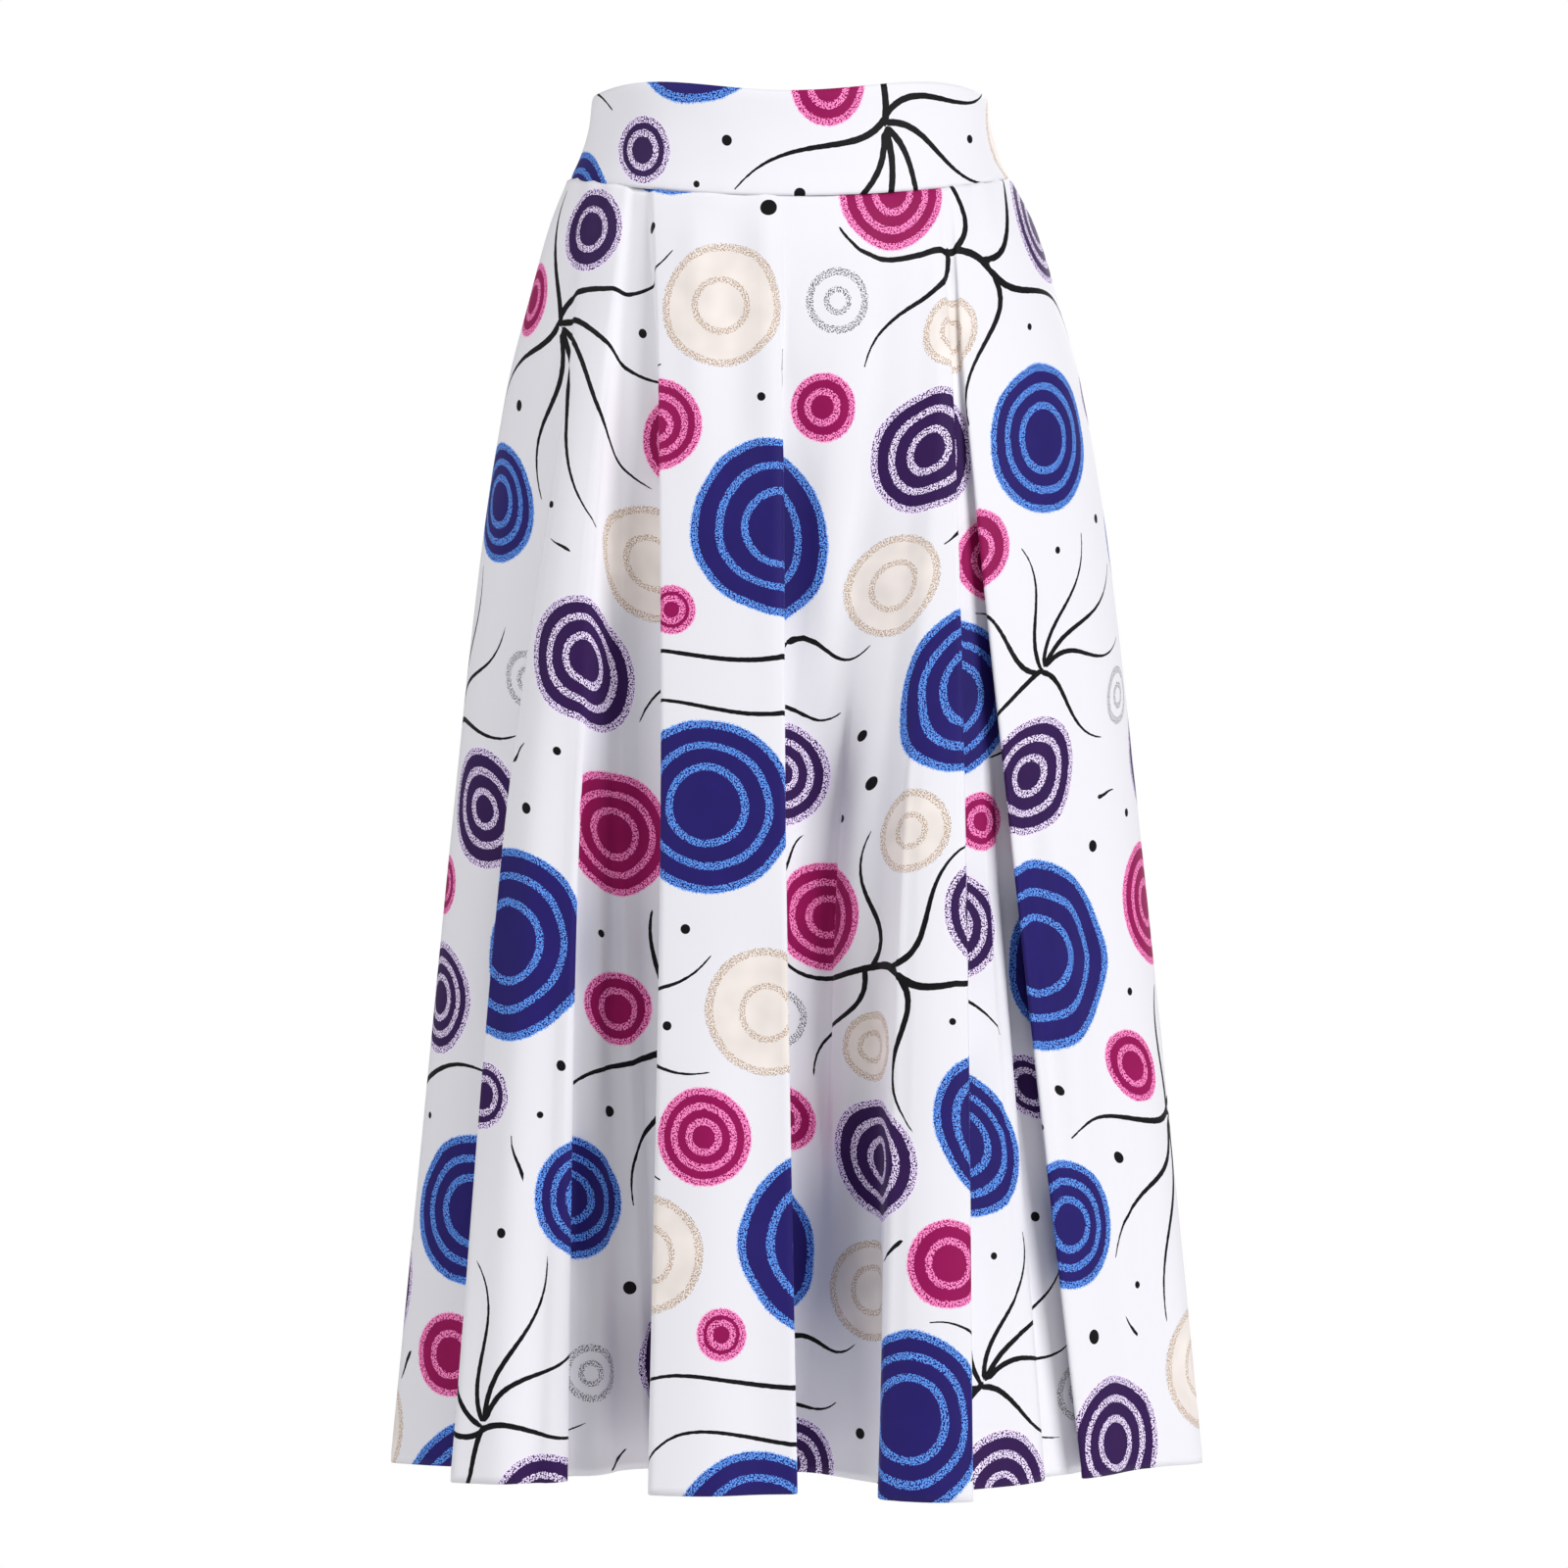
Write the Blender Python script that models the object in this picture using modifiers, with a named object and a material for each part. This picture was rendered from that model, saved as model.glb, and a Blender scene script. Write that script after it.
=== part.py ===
"""A high-waisted maxi skirt with deep pleats, filled out as if it were worn.

Metres, +Z up, and the front faces -Y. The origin is at the centre of the waist, level with the top of
the band, where a waist holds the skirt. The cloth is four cut pieces: a front and a back for the wide
waistband, and a front and a back for the skirt, which meet at two side seams. Each piece is a surface
lofted through sections and thickened by Solidify. A section is an ellipse round a general figure, and
the folds are set back from it. The tables give every fold line at four heights, in millimetres.
"""

import math
from collections import namedtuple

import bmesh
import bpy

MM = 0.001

# Cloth: the band is doubled, and the cut pieces lie a hair apart at every seam
SKIRT_WALL = 1.2 * MM
BAND_WALL = 2.2 * MM
SEAM_GAP = 0.3 * MM
CLOTH_ROUGHNESS = 0.55
BAND_FRONT_COLOUR = (0.88, 0.87, 0.88)
BAND_BACK_COLOUR = (0.86, 0.85, 0.87)
SKIRT_FRONT_COLOUR = (0.85, 0.84, 0.87)
SKIRT_BACK_COLOUR = (0.83, 0.82, 0.86)

# Waistband: its half width and depths at the top, part of the way down and at the seam
Ring = namedtuple("Ring", "down half_width front_depth back_depth")
BAND_RINGS = (
    Ring(0.00, 131.5, 99.0, 95.0),
    Ring(0.40, 134.0, 101.0, 97.0),
    Ring(0.75, 140.0, 105.5, 101.0),
    Ring(1.00, 146.5, 111.0, 106.0),
)
BAND_LEVELS = 4
BAND_COLUMNS = 40

# Top edge of the band: it dips at the centre and at the side seams, and rises between them
FRONT_TOP_MEAN = -3.4 * MM
FRONT_TOP_SIDE_DIP = 1.5 * MM
FRONT_TOP_WAVE = 3.6 * MM
BACK_TOP_MEAN = -7.5 * MM
BACK_TOP_SIDE_DIP = -1.5 * MM
BACK_TOP_WAVE = 3.0 * MM

# Waist seam: lower at the centre front than at the side seams
SEAM_HEIGHT_SIDE = -63.5 * MM
SEAM_DIP_FRONT = 11.0 * MM
SEAM_DIP_BACK = 3.0 * MM

# Hem: level, but cloth that is set back in a fold hangs a little higher
HEM_HEIGHT = -924.0 * MM
HEM_RISE = 0.05

# The ellipse that the folds are set back from, from the waist seam to the hem. Lean is how far the
# middle of the skirt stands to the right of the middle of the waist.
Section = namedtuple("Section", "height half_width front_depth back_depth lean")
SECTIONS = (
    Section(-66.0, 146.8, 111.2, 106.2, -0.5),
    Section(-98.0, 161.5, 121.5, 115.5, 1.5),
    Section(-150.0, 177.0, 130.0, 124.0, 2.5),
    Section(-205.0, 191.5, 139.0, 133.0, 3.0),
    Section(-310.0, 209.0, 150.0, 144.0, 3.5),
    Section(-500.0, 230.5, 164.0, 157.0, 4.0),
    Section(-720.0, 253.0, 178.0, 171.0, 4.5),
    Section(-920.0, 273.0, 190.0, 182.0, 4.5),
)

# A fold line: where it lies across the body and how far it is set back from the ellipse, at the waist
# seam, hip, knee and hem, and how softly the cloth turns there at the seam and at the hem.
FOLD_HEIGHTS = (-66.0, -205.0, -500.0, -920.0)
Fold = namedtuple("Fold", "name across set_back turn")
FRONT_FOLDS = (
    Fold("left panel", (-143.0, -178.0, -218.0, -253.0), (0.0, 1.5, 9.0, 34.0), (3.0, 16.0)),
    Fold("left panel under roll", (-141.0, -146.0, -174.0, -203.0), (0.4, 5.0, 28.0, 70.0), (2.0, 9.0)),
    Fold("left roll, outer edge", (-134.0, -147.5, -191.0, -227.0), (0.0, 0.0, 1.0, 2.0), (3.0, 14.0)),
    Fold("left roll, inner edge", (-108.0, -121.5, -142.0, -154.0), (0.0, 0.8, 10.0, 40.0), (3.0, 14.0)),
    Fold("left recess", (-103.0, -111.0, -116.0, -106.0), (2.0, 12.0, 46.0, 98.0), (2.0, 16.0)),
    Fold("left recess under centre", (-94.0, -82.0, -69.0, -73.0), (2.2, 15.0, 54.0, 110.0), (1.5, 12.0)),
    Fold("centre panel, left edge", (-90.0, -86.5, -85.5, -93.5), (0.0, 0.8, 7.0, 20.0), (1.5, 8.0)),
    Fold("centre panel, right edge", (-8.0, -3.0, -1.0, 7.0), (0.0, 0.8, 8.0, 32.0), (4.0, 8.0)),
    Fold("right recess under centre", (4.0, -4.5, -15.0, -14.0), (0.5, 7.0, 42.0, 100.0), (2.0, 12.0)),
    Fold("right recess", (67.0, 56.0, 14.0, 12.0), (0.8, 15.0, 56.0, 106.0), (6.0, 18.0)),
    Fold("right roll, under its inner edge", (87.0, 84.0, 58.0, 63.0), (0.3, 7.0, 32.0, 60.0), (3.0, 9.0)),
    Fold("right roll, inner edge", (92.0, 97.0, 73.0, 56.0), (0.0, 1.0, 12.0, 12.0), (2.0, 12.0)),
    Fold("right roll, outer edge", (95.5, 107.5, 116.5, 122.0), (0.0, 0.0, -2.0, -9.0), (2.5, 11.0)),
    Fold("strip under roll", (99.0, 106.0, 106.5, 109.0), (0.3, 6.0, 20.0, 32.0), (2.0, 10.0)),
    Fold("strip", (101.5, 110.5, 132.0, 159.0), (0.4, 7.5, 21.0, 40.0), (2.0, 14.0)),
    Fold("strip under right panel", (104.0, 115.5, 155.0, 203.0), (0.3, 6.5, 28.0, 72.0), (2.0, 12.0)),
    Fold("right panel, inner edge", (107.5, 114.5, 143.0, 189.0), (0.0, 0.5, 5.0, 40.0), (3.0, 15.0)),
    Fold("right panel", (135.0, 166.0, 208.0, 247.0), (0.0, 1.0, 8.0, 46.0), (6.0, 20.0)),
)
BACK_FOLDS = (
    Fold("left panel", (-139.0, -171.0, -213.0, -249.0), (0.0, 1.0, 8.0, 30.0), (6.0, 20.0)),
    Fold("left panel under roll", (-118.0, -127.0, -151.0, -180.0), (0.5, 7.0, 33.0, 76.0), (2.0, 10.0)),
    Fold("left roll, outer edge", (-112.0, -131.0, -163.0, -196.0), (0.0, 0.0, 3.0, 8.0), (2.0, 12.0)),
    Fold("left roll, inner edge", (-80.0, -89.0, -107.0, -119.0), (0.0, 0.8, 8.0, 22.0), (3.0, 14.0)),
    Fold("left recess", (-75.0, -80.0, -84.0, -84.0), (2.0, 12.0, 44.0, 92.0), (2.0, 16.0)),
    Fold("left recess under centre", (-66.0, -57.0, -44.0, -38.0), (2.2, 15.0, 52.0, 104.0), (1.5, 12.0)),
    Fold("centre panel, left edge", (-62.0, -61.5, -60.0, -59.0), (0.0, 0.8, 6.0, 16.0), (1.5, 8.0)),
    Fold("centre panel, right edge", (58.0, 59.5, 62.0, 68.0), (0.0, 0.8, 6.0, 14.0), (1.5, 8.0)),
    Fold("right recess under centre", (62.0, 55.0, 45.0, 46.0), (2.2, 14.0, 50.0, 100.0), (1.5, 12.0)),
    Fold("right recess", (71.0, 79.0, 88.0, 96.0), (2.0, 11.0, 42.0, 88.0), (2.0, 16.0)),
    Fold("right roll, inner edge", (76.0, 88.0, 111.0, 131.0), (0.0, 0.8, 7.0, 18.0), (3.0, 14.0)),
    Fold("right roll, outer edge", (116.0, 135.0, 170.0, 205.0), (0.0, 0.0, 4.0, 12.0), (2.0, 12.0)),
    Fold("right panel under roll", (122.0, 131.0, 158.0, 190.0), (0.5, 7.0, 32.0, 80.0), (2.0, 10.0)),
    Fold("right panel", (141.0, 173.0, 216.0, 255.0), (0.0, 1.0, 9.0, 34.0), (6.0, 20.0)),
)

# Points on each rounded turn, and the most of a panel's width that one turn takes
TURN_POINTS = 4
SHARE_OF_PANEL = 0.45

# Plain cloth left beside each side seam, and the width of the strips that a panel is cut into
SIDE_MARGIN = 14.0 * MM
PANEL_STEP = 28.0 * MM

# Levels down the skirt, as shares of the way from the waist seam to the hem, closer together at the hip
SKIRT_LEVELS = (0.0, 0.04, 0.09, 0.15, 0.23, 0.34, 0.47, 0.61, 0.75, 0.88, 1.0)

# How much lower a fold starts below the waist seam for each metre that it is set back
TOP_DROP = 1.0


def clear_scene():
    """Empties the scene that the script is run in."""
    for thing in list(bpy.data.objects):
        bpy.data.objects.remove(thing, do_unlink=True)


def cloth_material(name, colour, roughness):
    """A plain cloth finish."""
    material = bpy.data.materials.new(name)
    material.use_nodes = True
    shader = material.node_tree.nodes["Principled BSDF"]
    shader.inputs["Base Color"].default_value = (*colour, 1.0)
    shader.inputs["Roughness"].default_value = roughness
    shader.inputs["Metallic"].default_value = 0.0
    return material


def through(stations, values, at):
    """The value at a place on a smooth curve through a value at each station, in the stations' order."""
    last = len(stations) - 1
    slopes = []
    for i in range(last + 1):
        before, after = max(i - 1, 0), min(i + 1, last)
        slopes.append((values[after] - values[before]) / (stations[after] - stations[before]))
    i = 0
    while i < last - 1 and (at - stations[i + 1]) * (stations[last] - stations[0]) > 0:
        i += 1
    span = stations[i + 1] - stations[i]
    t = min(max((at - stations[i]) / span, 0.0), 1.0)
    start, end = values[i], values[i + 1]
    rise = end - start
    into, out_of = slopes[i] * span, slopes[i + 1] * span
    return start + t * (into + t * (3 * rise - 2 * into - out_of + t * (into + out_of - 2 * rise)))


def body_section(height):
    """Half width, front depth, back depth and lean of the skirt's ellipse at a height."""
    stations = [section.height * MM for section in SECTIONS]
    columns = zip(*(section[1:] for section in SECTIONS))
    return [through(stations, values, height) * MM for values in columns]


def fold_corners(folds, height, half_width, lean):
    """Each fold line at a height: its distance round the ellipse, how far it is set back, and its turn."""
    stations = [station * MM for station in FOLD_HEIGHTS]
    share = (height - stations[0]) / (stations[-1] - stations[0])
    share = min(max(share, 0.0), 1.0)
    side = half_width * math.pi / 2
    corners = [(-side, 0.0, 0.0), (SIDE_MARGIN - side, 0.0, SIDE_MARGIN)]
    for fold in folds:
        across = through(stations, fold.across, height) * MM - lean
        set_back = through(stations, fold.set_back, height) * MM
        turn = (fold.turn[0] + (fold.turn[1] - fold.turn[0]) * share) * MM
        corners.append((half_width * math.asin(across / half_width), set_back, turn))
    corners += [(side - SIDE_MARGIN, 0.0, SIDE_MARGIN), (side, 0.0, 0.0)]
    return corners


def panel_steps(folds):
    """How many parts each panel between two fold lines is cut into, from its width at the hem."""
    half_width, _, _, lean = body_section(HEM_HEIGHT)
    corners = fold_corners(folds, HEM_HEIGHT, half_width, lean)
    widths = [math.dist(a[:2], b[:2]) for a, b in zip(corners, corners[1:])]
    return [max(1, round(width / PANEL_STEP)) for width in widths]


def rounded(corners, steps):
    """The line through the corners with each corner rounded, as (round the ellipse, set back) pairs."""
    line = [corners[0][:2]]
    for i in range(1, len(corners)):
        before, here = corners[i - 1], corners[i]
        width = math.dist(before[:2], here[:2])
        leave = min(before[2], width * SHARE_OF_PANEL) / width
        arrive = 1.0 - min(here[2], width * SHARE_OF_PANEL) / width
        for step in range(1, steps[i - 1] + 1):
            share = leave + (arrive - leave) * step / steps[i - 1]
            line.append(tuple(b + (h - b) * share for b, h in zip(before[:2], here[:2])))
        if i == len(corners) - 1:
            break
        after = corners[i + 1]
        width = math.dist(here[:2], after[:2])
        share = min(here[2], width * SHARE_OF_PANEL) / width
        start = line[-1]
        end = tuple(h + (a - h) * share for h, a in zip(here[:2], after[:2]))
        for point in range(1, TURN_POINTS):
            t = point / (TURN_POINTS - 1)
            weights = ((1 - t) ** 2, 2 * t * (1 - t), t ** 2)
            guides = (start, here[:2], end)
            line.append(tuple(sum(w * g[axis] for w, g in zip(weights, guides)) for axis in (0, 1)))
    return line


def seam_height(angle, dip):
    """Height of the waist seam at an angle round the body, measured from the centre line."""
    return SEAM_HEIGHT_SIDE - dip * math.cos(angle) ** 2


def top_height(angle, mean, side_dip, wave):
    """Height of the band's top edge at an angle round the body, measured from the centre line."""
    return mean + side_dip * math.cos(2 * angle) - wave * math.cos(4 * angle)


def skirt_rows(folds, facing, dip):
    """Rows of points for one side of the skirt, top to hem. Facing is -1 at the front, 1 at the back."""
    steps = panel_steps(folds)
    rows = []
    for share in SKIRT_LEVELS:
        level = SEAM_HEIGHT_SIDE - dip / 2
        height = level + (HEM_HEIGHT - level) * share
        half_width, front_depth, back_depth, lean = body_section(height)
        depth = front_depth if facing < 0 else back_depth
        row = []
        for round_body, set_back in rounded(fold_corners(folds, height, half_width, lean), steps):
            angle = round_body / half_width
            start = seam_height(angle, dip) - SEAM_GAP - TOP_DROP * abs(set_back)
            end = HEM_HEIGHT + HEM_RISE * max(set_back, 0.0)
            gap = SEAM_GAP / 2
            x = lean + half_width * math.sin(angle)
            y = facing * (gap + depth * math.cos(angle) - set_back)
            z = start * (1.0 - share) + end * share
            row.append((x, y, z))
        rows.append(row)
    return rows


def band_rows(facing, dip, top):
    """Rows of points for one side of the waistband, top edge to waist seam."""
    stations = [ring.down for ring in BAND_RINGS]
    rows = []
    for level in range(BAND_LEVELS + 1):
        down = level / BAND_LEVELS
        columns = list(zip(*(ring[1:] for ring in BAND_RINGS)))
        half_width, front_depth, back_depth = (through(stations, values, down) * MM for values in columns)
        depth = front_depth if facing < 0 else back_depth
        row = []
        for column in range(BAND_COLUMNS + 1):
            angle = math.pi * (column / BAND_COLUMNS - 0.5)
            z = top_height(angle, *top) * (1.0 - down) + seam_height(angle, dip) * down
            x = half_width * math.sin(angle)
            row.append((x, facing * (SEAM_GAP / 2 + depth * math.cos(angle)), z))
        rows.append(row)
    return rows


def cloth_piece(name, rows, wall, material, collection, facing):
    """A lofted surface whose faces point away from the body, thickened inwards."""
    mesh = bpy.data.meshes.new(name)
    loft = bmesh.new()
    points = [[loft.verts.new(point) for point in (row if facing < 0 else row[::-1])] for row in rows]
    for upper, lower in zip(points, points[1:]):
        for i in range(len(upper) - 1):
            loft.faces.new((upper[i], lower[i], lower[i + 1], upper[i + 1]))
    loft.to_mesh(mesh)
    loft.free()
    mesh.shade_smooth()
    mesh.materials.append(material)
    piece = bpy.data.objects.new(name, mesh)
    collection.objects.link(piece)
    thickness = piece.modifiers.new("cloth thickness", "SOLIDIFY")
    thickness.thickness = wall
    thickness.offset = -1.0
    return piece


def main():
    """Builds the four cut pieces."""
    clear_scene()
    collection = bpy.data.collections.new("maxi_skirt")
    bpy.context.scene.collection.children.link(collection)
    front_top = (FRONT_TOP_MEAN, FRONT_TOP_SIDE_DIP, FRONT_TOP_WAVE)
    back_top = (BACK_TOP_MEAN, BACK_TOP_SIDE_DIP, BACK_TOP_WAVE)
    pieces = (
        ("waistband_front", band_rows(-1, SEAM_DIP_FRONT, front_top), BAND_WALL, -1, BAND_FRONT_COLOUR),
        ("waistband_back", band_rows(1, SEAM_DIP_BACK, back_top), BAND_WALL, 1, BAND_BACK_COLOUR),
        ("skirt_front", skirt_rows(FRONT_FOLDS, -1, SEAM_DIP_FRONT), SKIRT_WALL, -1, SKIRT_FRONT_COLOUR),
        ("skirt_back", skirt_rows(BACK_FOLDS, 1, SEAM_DIP_BACK), SKIRT_WALL, 1, SKIRT_BACK_COLOUR),
    )
    for name, rows, wall, facing, colour in pieces:
        material = cloth_material(name + "_cloth", colour, CLOTH_ROUGHNESS)
        cloth_piece(name, rows, wall, material, collection, facing)


if __name__ == "__main__":
    main()
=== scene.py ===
"""The looks of a high-waisted maxi skirt with deep pleats and an all-over print, filled out as if worn.

Metres, +Z up, and the front faces -Y. The four cut pieces are thin shells on the form of their solids: a
front and a back for the wide waistband, and a front and a back for the skirt. Each keeps its flat pattern
as a UV map in metres, and the print lies on that pattern, so a pleat's edge cuts through it as it does on
real cloth. The repeat of the print is laid out here: discs with stippled rings, small dots and twigs.
"""

import logging
import math
from dataclasses import dataclass, field
from enum import Enum
from typing import NamedTuple

import bpy
import numpy as np
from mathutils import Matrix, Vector


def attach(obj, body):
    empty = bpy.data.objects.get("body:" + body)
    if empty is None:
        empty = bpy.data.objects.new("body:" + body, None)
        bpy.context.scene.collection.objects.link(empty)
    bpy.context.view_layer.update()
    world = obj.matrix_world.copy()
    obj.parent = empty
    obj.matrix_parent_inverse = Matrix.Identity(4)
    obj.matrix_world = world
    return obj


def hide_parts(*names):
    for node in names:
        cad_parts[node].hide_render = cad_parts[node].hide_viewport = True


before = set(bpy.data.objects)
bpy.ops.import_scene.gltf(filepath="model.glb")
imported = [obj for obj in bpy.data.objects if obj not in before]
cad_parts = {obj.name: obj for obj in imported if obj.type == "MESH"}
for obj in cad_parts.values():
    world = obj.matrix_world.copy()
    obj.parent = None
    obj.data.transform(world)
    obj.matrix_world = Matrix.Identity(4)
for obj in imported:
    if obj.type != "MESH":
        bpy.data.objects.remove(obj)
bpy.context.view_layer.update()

MM = 0.001
BLACK = (0.0, 0.0, 0.0, 1.0)
WHITE = (1.0, 1.0, 1.0, 1.0)
BODY = "root"
PATTERN = "flat_pattern"

log = logging.getLogger("maxi_skirt")


class Side(Enum):
    """The half of the skirt that a cut piece covers, with the sign of its Y."""

    FRONT = -1
    BACK = 1


class Motif(Enum):
    """The kinds of round motif in the print, in the order of the ink chart."""

    BLUE = 0
    PURPLE = 1
    MAGENTA = 2
    CREAM = 3
    BLACK_RING = 4
    DOT = 5


class Section(NamedTuple):
    """One ellipse of the figure that the cloth is filled out to, in millimetres.

    Level is a share of the way down the waistband, or a height on the skirt, and lean is the middle's X.
    """

    level: float
    half_width: float
    front_depth: float
    back_depth: float
    lean: float = 0.0


class Fold(NamedTuple):
    """A fold line at the four fold heights, in millimetres."""

    name: str
    across: tuple[float, float, float, float]
    set_back: tuple[float, float, float, float]
    turn: tuple[float, float]


class Crease(NamedTuple):
    """A soft trough or ridge in one panel, the cloth between a fold line and the next.

    Across is a share of the panel's width at the crease's top and bottom, and top and bottom are shares of
    the way down the skirt. Width and height are in millimetres, and a trough has a height below zero.
    """

    panel: str
    across_top: float
    across_bottom: float
    top: float
    bottom: float
    width: float
    height: float


class Pucker(NamedTuple):
    """Fine gathers along a seam, which drift a little so that no two are alike.

    Height is in millimetres, and fade is how fast they die away from the seam.
    """

    pace: float
    drift_pace: float
    drift: float
    height: float
    fade: float

    def at(self, along: np.ndarray, away: np.ndarray) -> np.ndarray:
        """How far the gathers stand out, in millimetres, along the seam and away from it."""
        uneven = np.sin(along * self.drift_pace) * self.drift
        return np.sin(along * self.pace + uneven) * self.height * np.exp(-away * self.fade)


BAND_SECTIONS = (
    Section(0.00, 131.5, 99.0, 95.0),
    Section(0.40, 134.0, 101.0, 97.0),
    Section(0.75, 140.0, 105.5, 101.0),
    Section(1.00, 146.5, 111.0, 106.0),
)

SKIRT_SECTIONS = (
    Section(-66.0, 146.8, 111.2, 106.2, -0.5),
    Section(-98.0, 161.5, 121.5, 115.5, 1.5),
    Section(-150.0, 177.0, 130.0, 124.0, 2.5),
    Section(-205.0, 191.5, 139.0, 133.0, 3.0),
    Section(-310.0, 209.0, 150.0, 144.0, 3.5),
    Section(-500.0, 230.5, 164.0, 157.0, 4.0),
    Section(-720.0, 253.0, 178.0, 171.0, 4.5),
    Section(-920.0, 273.0, 190.0, 182.0, 4.5),
)

FOLD_HEIGHTS = (-66.0, -205.0, -500.0, -920.0)
FRONT_FOLDS = (
    Fold("left panel", (-143.0, -178.0, -218.0, -253.0), (0.0, 1.5, 9.0, 34.0), (3.0, 16.0)),
    Fold("left panel under roll", (-141.0, -146.0, -174.0, -203.0), (0.4, 5.0, 28.0, 70.0), (2.0, 9.0)),
    Fold("left roll outer", (-134.0, -147.5, -191.0, -227.0), (0.0, 0.0, 1.0, 2.0), (3.0, 14.0)),
    Fold("left roll inner", (-108.0, -121.5, -142.0, -154.0), (0.0, 0.8, 10.0, 40.0), (3.0, 14.0)),
    Fold("left recess", (-103.0, -111.0, -116.0, -106.0), (2.0, 12.0, 46.0, 98.0), (2.0, 16.0)),
    Fold("left recess under centre", (-94.0, -82.0, -69.0, -73.0), (2.2, 15.0, 54.0, 110.0), (1.5, 12.0)),
    Fold("centre left edge", (-90.0, -86.5, -85.5, -93.5), (0.0, 0.8, 7.0, 20.0), (1.5, 8.0)),
    Fold("centre right edge", (-8.0, -3.0, -1.0, 7.0), (0.0, 0.8, 8.0, 32.0), (4.0, 8.0)),
    Fold("right recess under centre", (4.0, -4.5, -15.0, -14.0), (0.5, 7.0, 42.0, 100.0), (2.0, 12.0)),
    Fold("right recess", (67.0, 56.0, 14.0, 12.0), (0.8, 15.0, 56.0, 106.0), (6.0, 18.0)),
    Fold("right roll under", (87.0, 84.0, 58.0, 63.0), (0.3, 7.0, 32.0, 60.0), (3.0, 9.0)),
    Fold("right roll inner", (92.0, 97.0, 73.0, 56.0), (0.0, 1.0, 12.0, 12.0), (2.0, 12.0)),
    Fold("right roll outer", (95.5, 107.5, 116.5, 122.0), (0.0, 0.0, -2.0, -9.0), (2.5, 11.0)),
    Fold("strip under roll", (99.0, 106.0, 106.5, 109.0), (0.3, 6.0, 20.0, 32.0), (2.0, 10.0)),
    Fold("strip", (101.5, 110.5, 132.0, 159.0), (0.4, 7.5, 21.0, 40.0), (2.0, 14.0)),
    Fold("strip under right panel", (104.0, 115.5, 155.0, 203.0), (0.3, 6.5, 28.0, 72.0), (2.0, 12.0)),
    Fold("right panel inner", (107.5, 114.5, 143.0, 189.0), (0.0, 0.5, 5.0, 40.0), (3.0, 15.0)),
    Fold("right panel", (135.0, 166.0, 208.0, 247.0), (0.0, 1.0, 8.0, 46.0), (6.0, 20.0)),
)
BACK_FOLDS = (
    Fold("left panel", (-139.0, -171.0, -213.0, -249.0), (0.0, 1.0, 8.0, 30.0), (6.0, 20.0)),
    Fold("left panel under roll", (-118.0, -127.0, -151.0, -180.0), (0.5, 7.0, 33.0, 76.0), (2.0, 10.0)),
    Fold("left roll outer", (-112.0, -131.0, -163.0, -196.0), (0.0, 0.0, 3.0, 8.0), (2.0, 12.0)),
    Fold("left roll inner", (-80.0, -89.0, -107.0, -119.0), (0.0, 0.8, 8.0, 22.0), (3.0, 14.0)),
    Fold("left recess", (-75.0, -80.0, -84.0, -84.0), (2.0, 12.0, 44.0, 92.0), (2.0, 16.0)),
    Fold("left recess under centre", (-66.0, -57.0, -44.0, -38.0), (2.2, 15.0, 52.0, 104.0), (1.5, 12.0)),
    Fold("centre left edge", (-62.0, -61.5, -60.0, -59.0), (0.0, 0.8, 6.0, 16.0), (1.5, 8.0)),
    Fold("centre right edge", (58.0, 59.5, 62.0, 68.0), (0.0, 0.8, 6.0, 14.0), (1.5, 8.0)),
    Fold("right recess under centre", (62.0, 55.0, 45.0, 46.0), (2.2, 14.0, 50.0, 100.0), (1.5, 12.0)),
    Fold("right recess", (71.0, 79.0, 88.0, 96.0), (2.0, 11.0, 42.0, 88.0), (2.0, 16.0)),
    Fold("right roll inner", (76.0, 88.0, 111.0, 131.0), (0.0, 0.8, 7.0, 18.0), (3.0, 14.0)),
    Fold("right roll outer", (116.0, 135.0, 170.0, 205.0), (0.0, 0.0, 4.0, 12.0), (2.0, 12.0)),
    Fold("right panel under roll", (122.0, 131.0, 158.0, 190.0), (0.5, 7.0, 32.0, 80.0), (2.0, 10.0)),
    Fold("right panel", (141.0, 173.0, 216.0, 255.0), (0.0, 1.0, 9.0, 34.0), (6.0, 20.0)),
)

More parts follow.
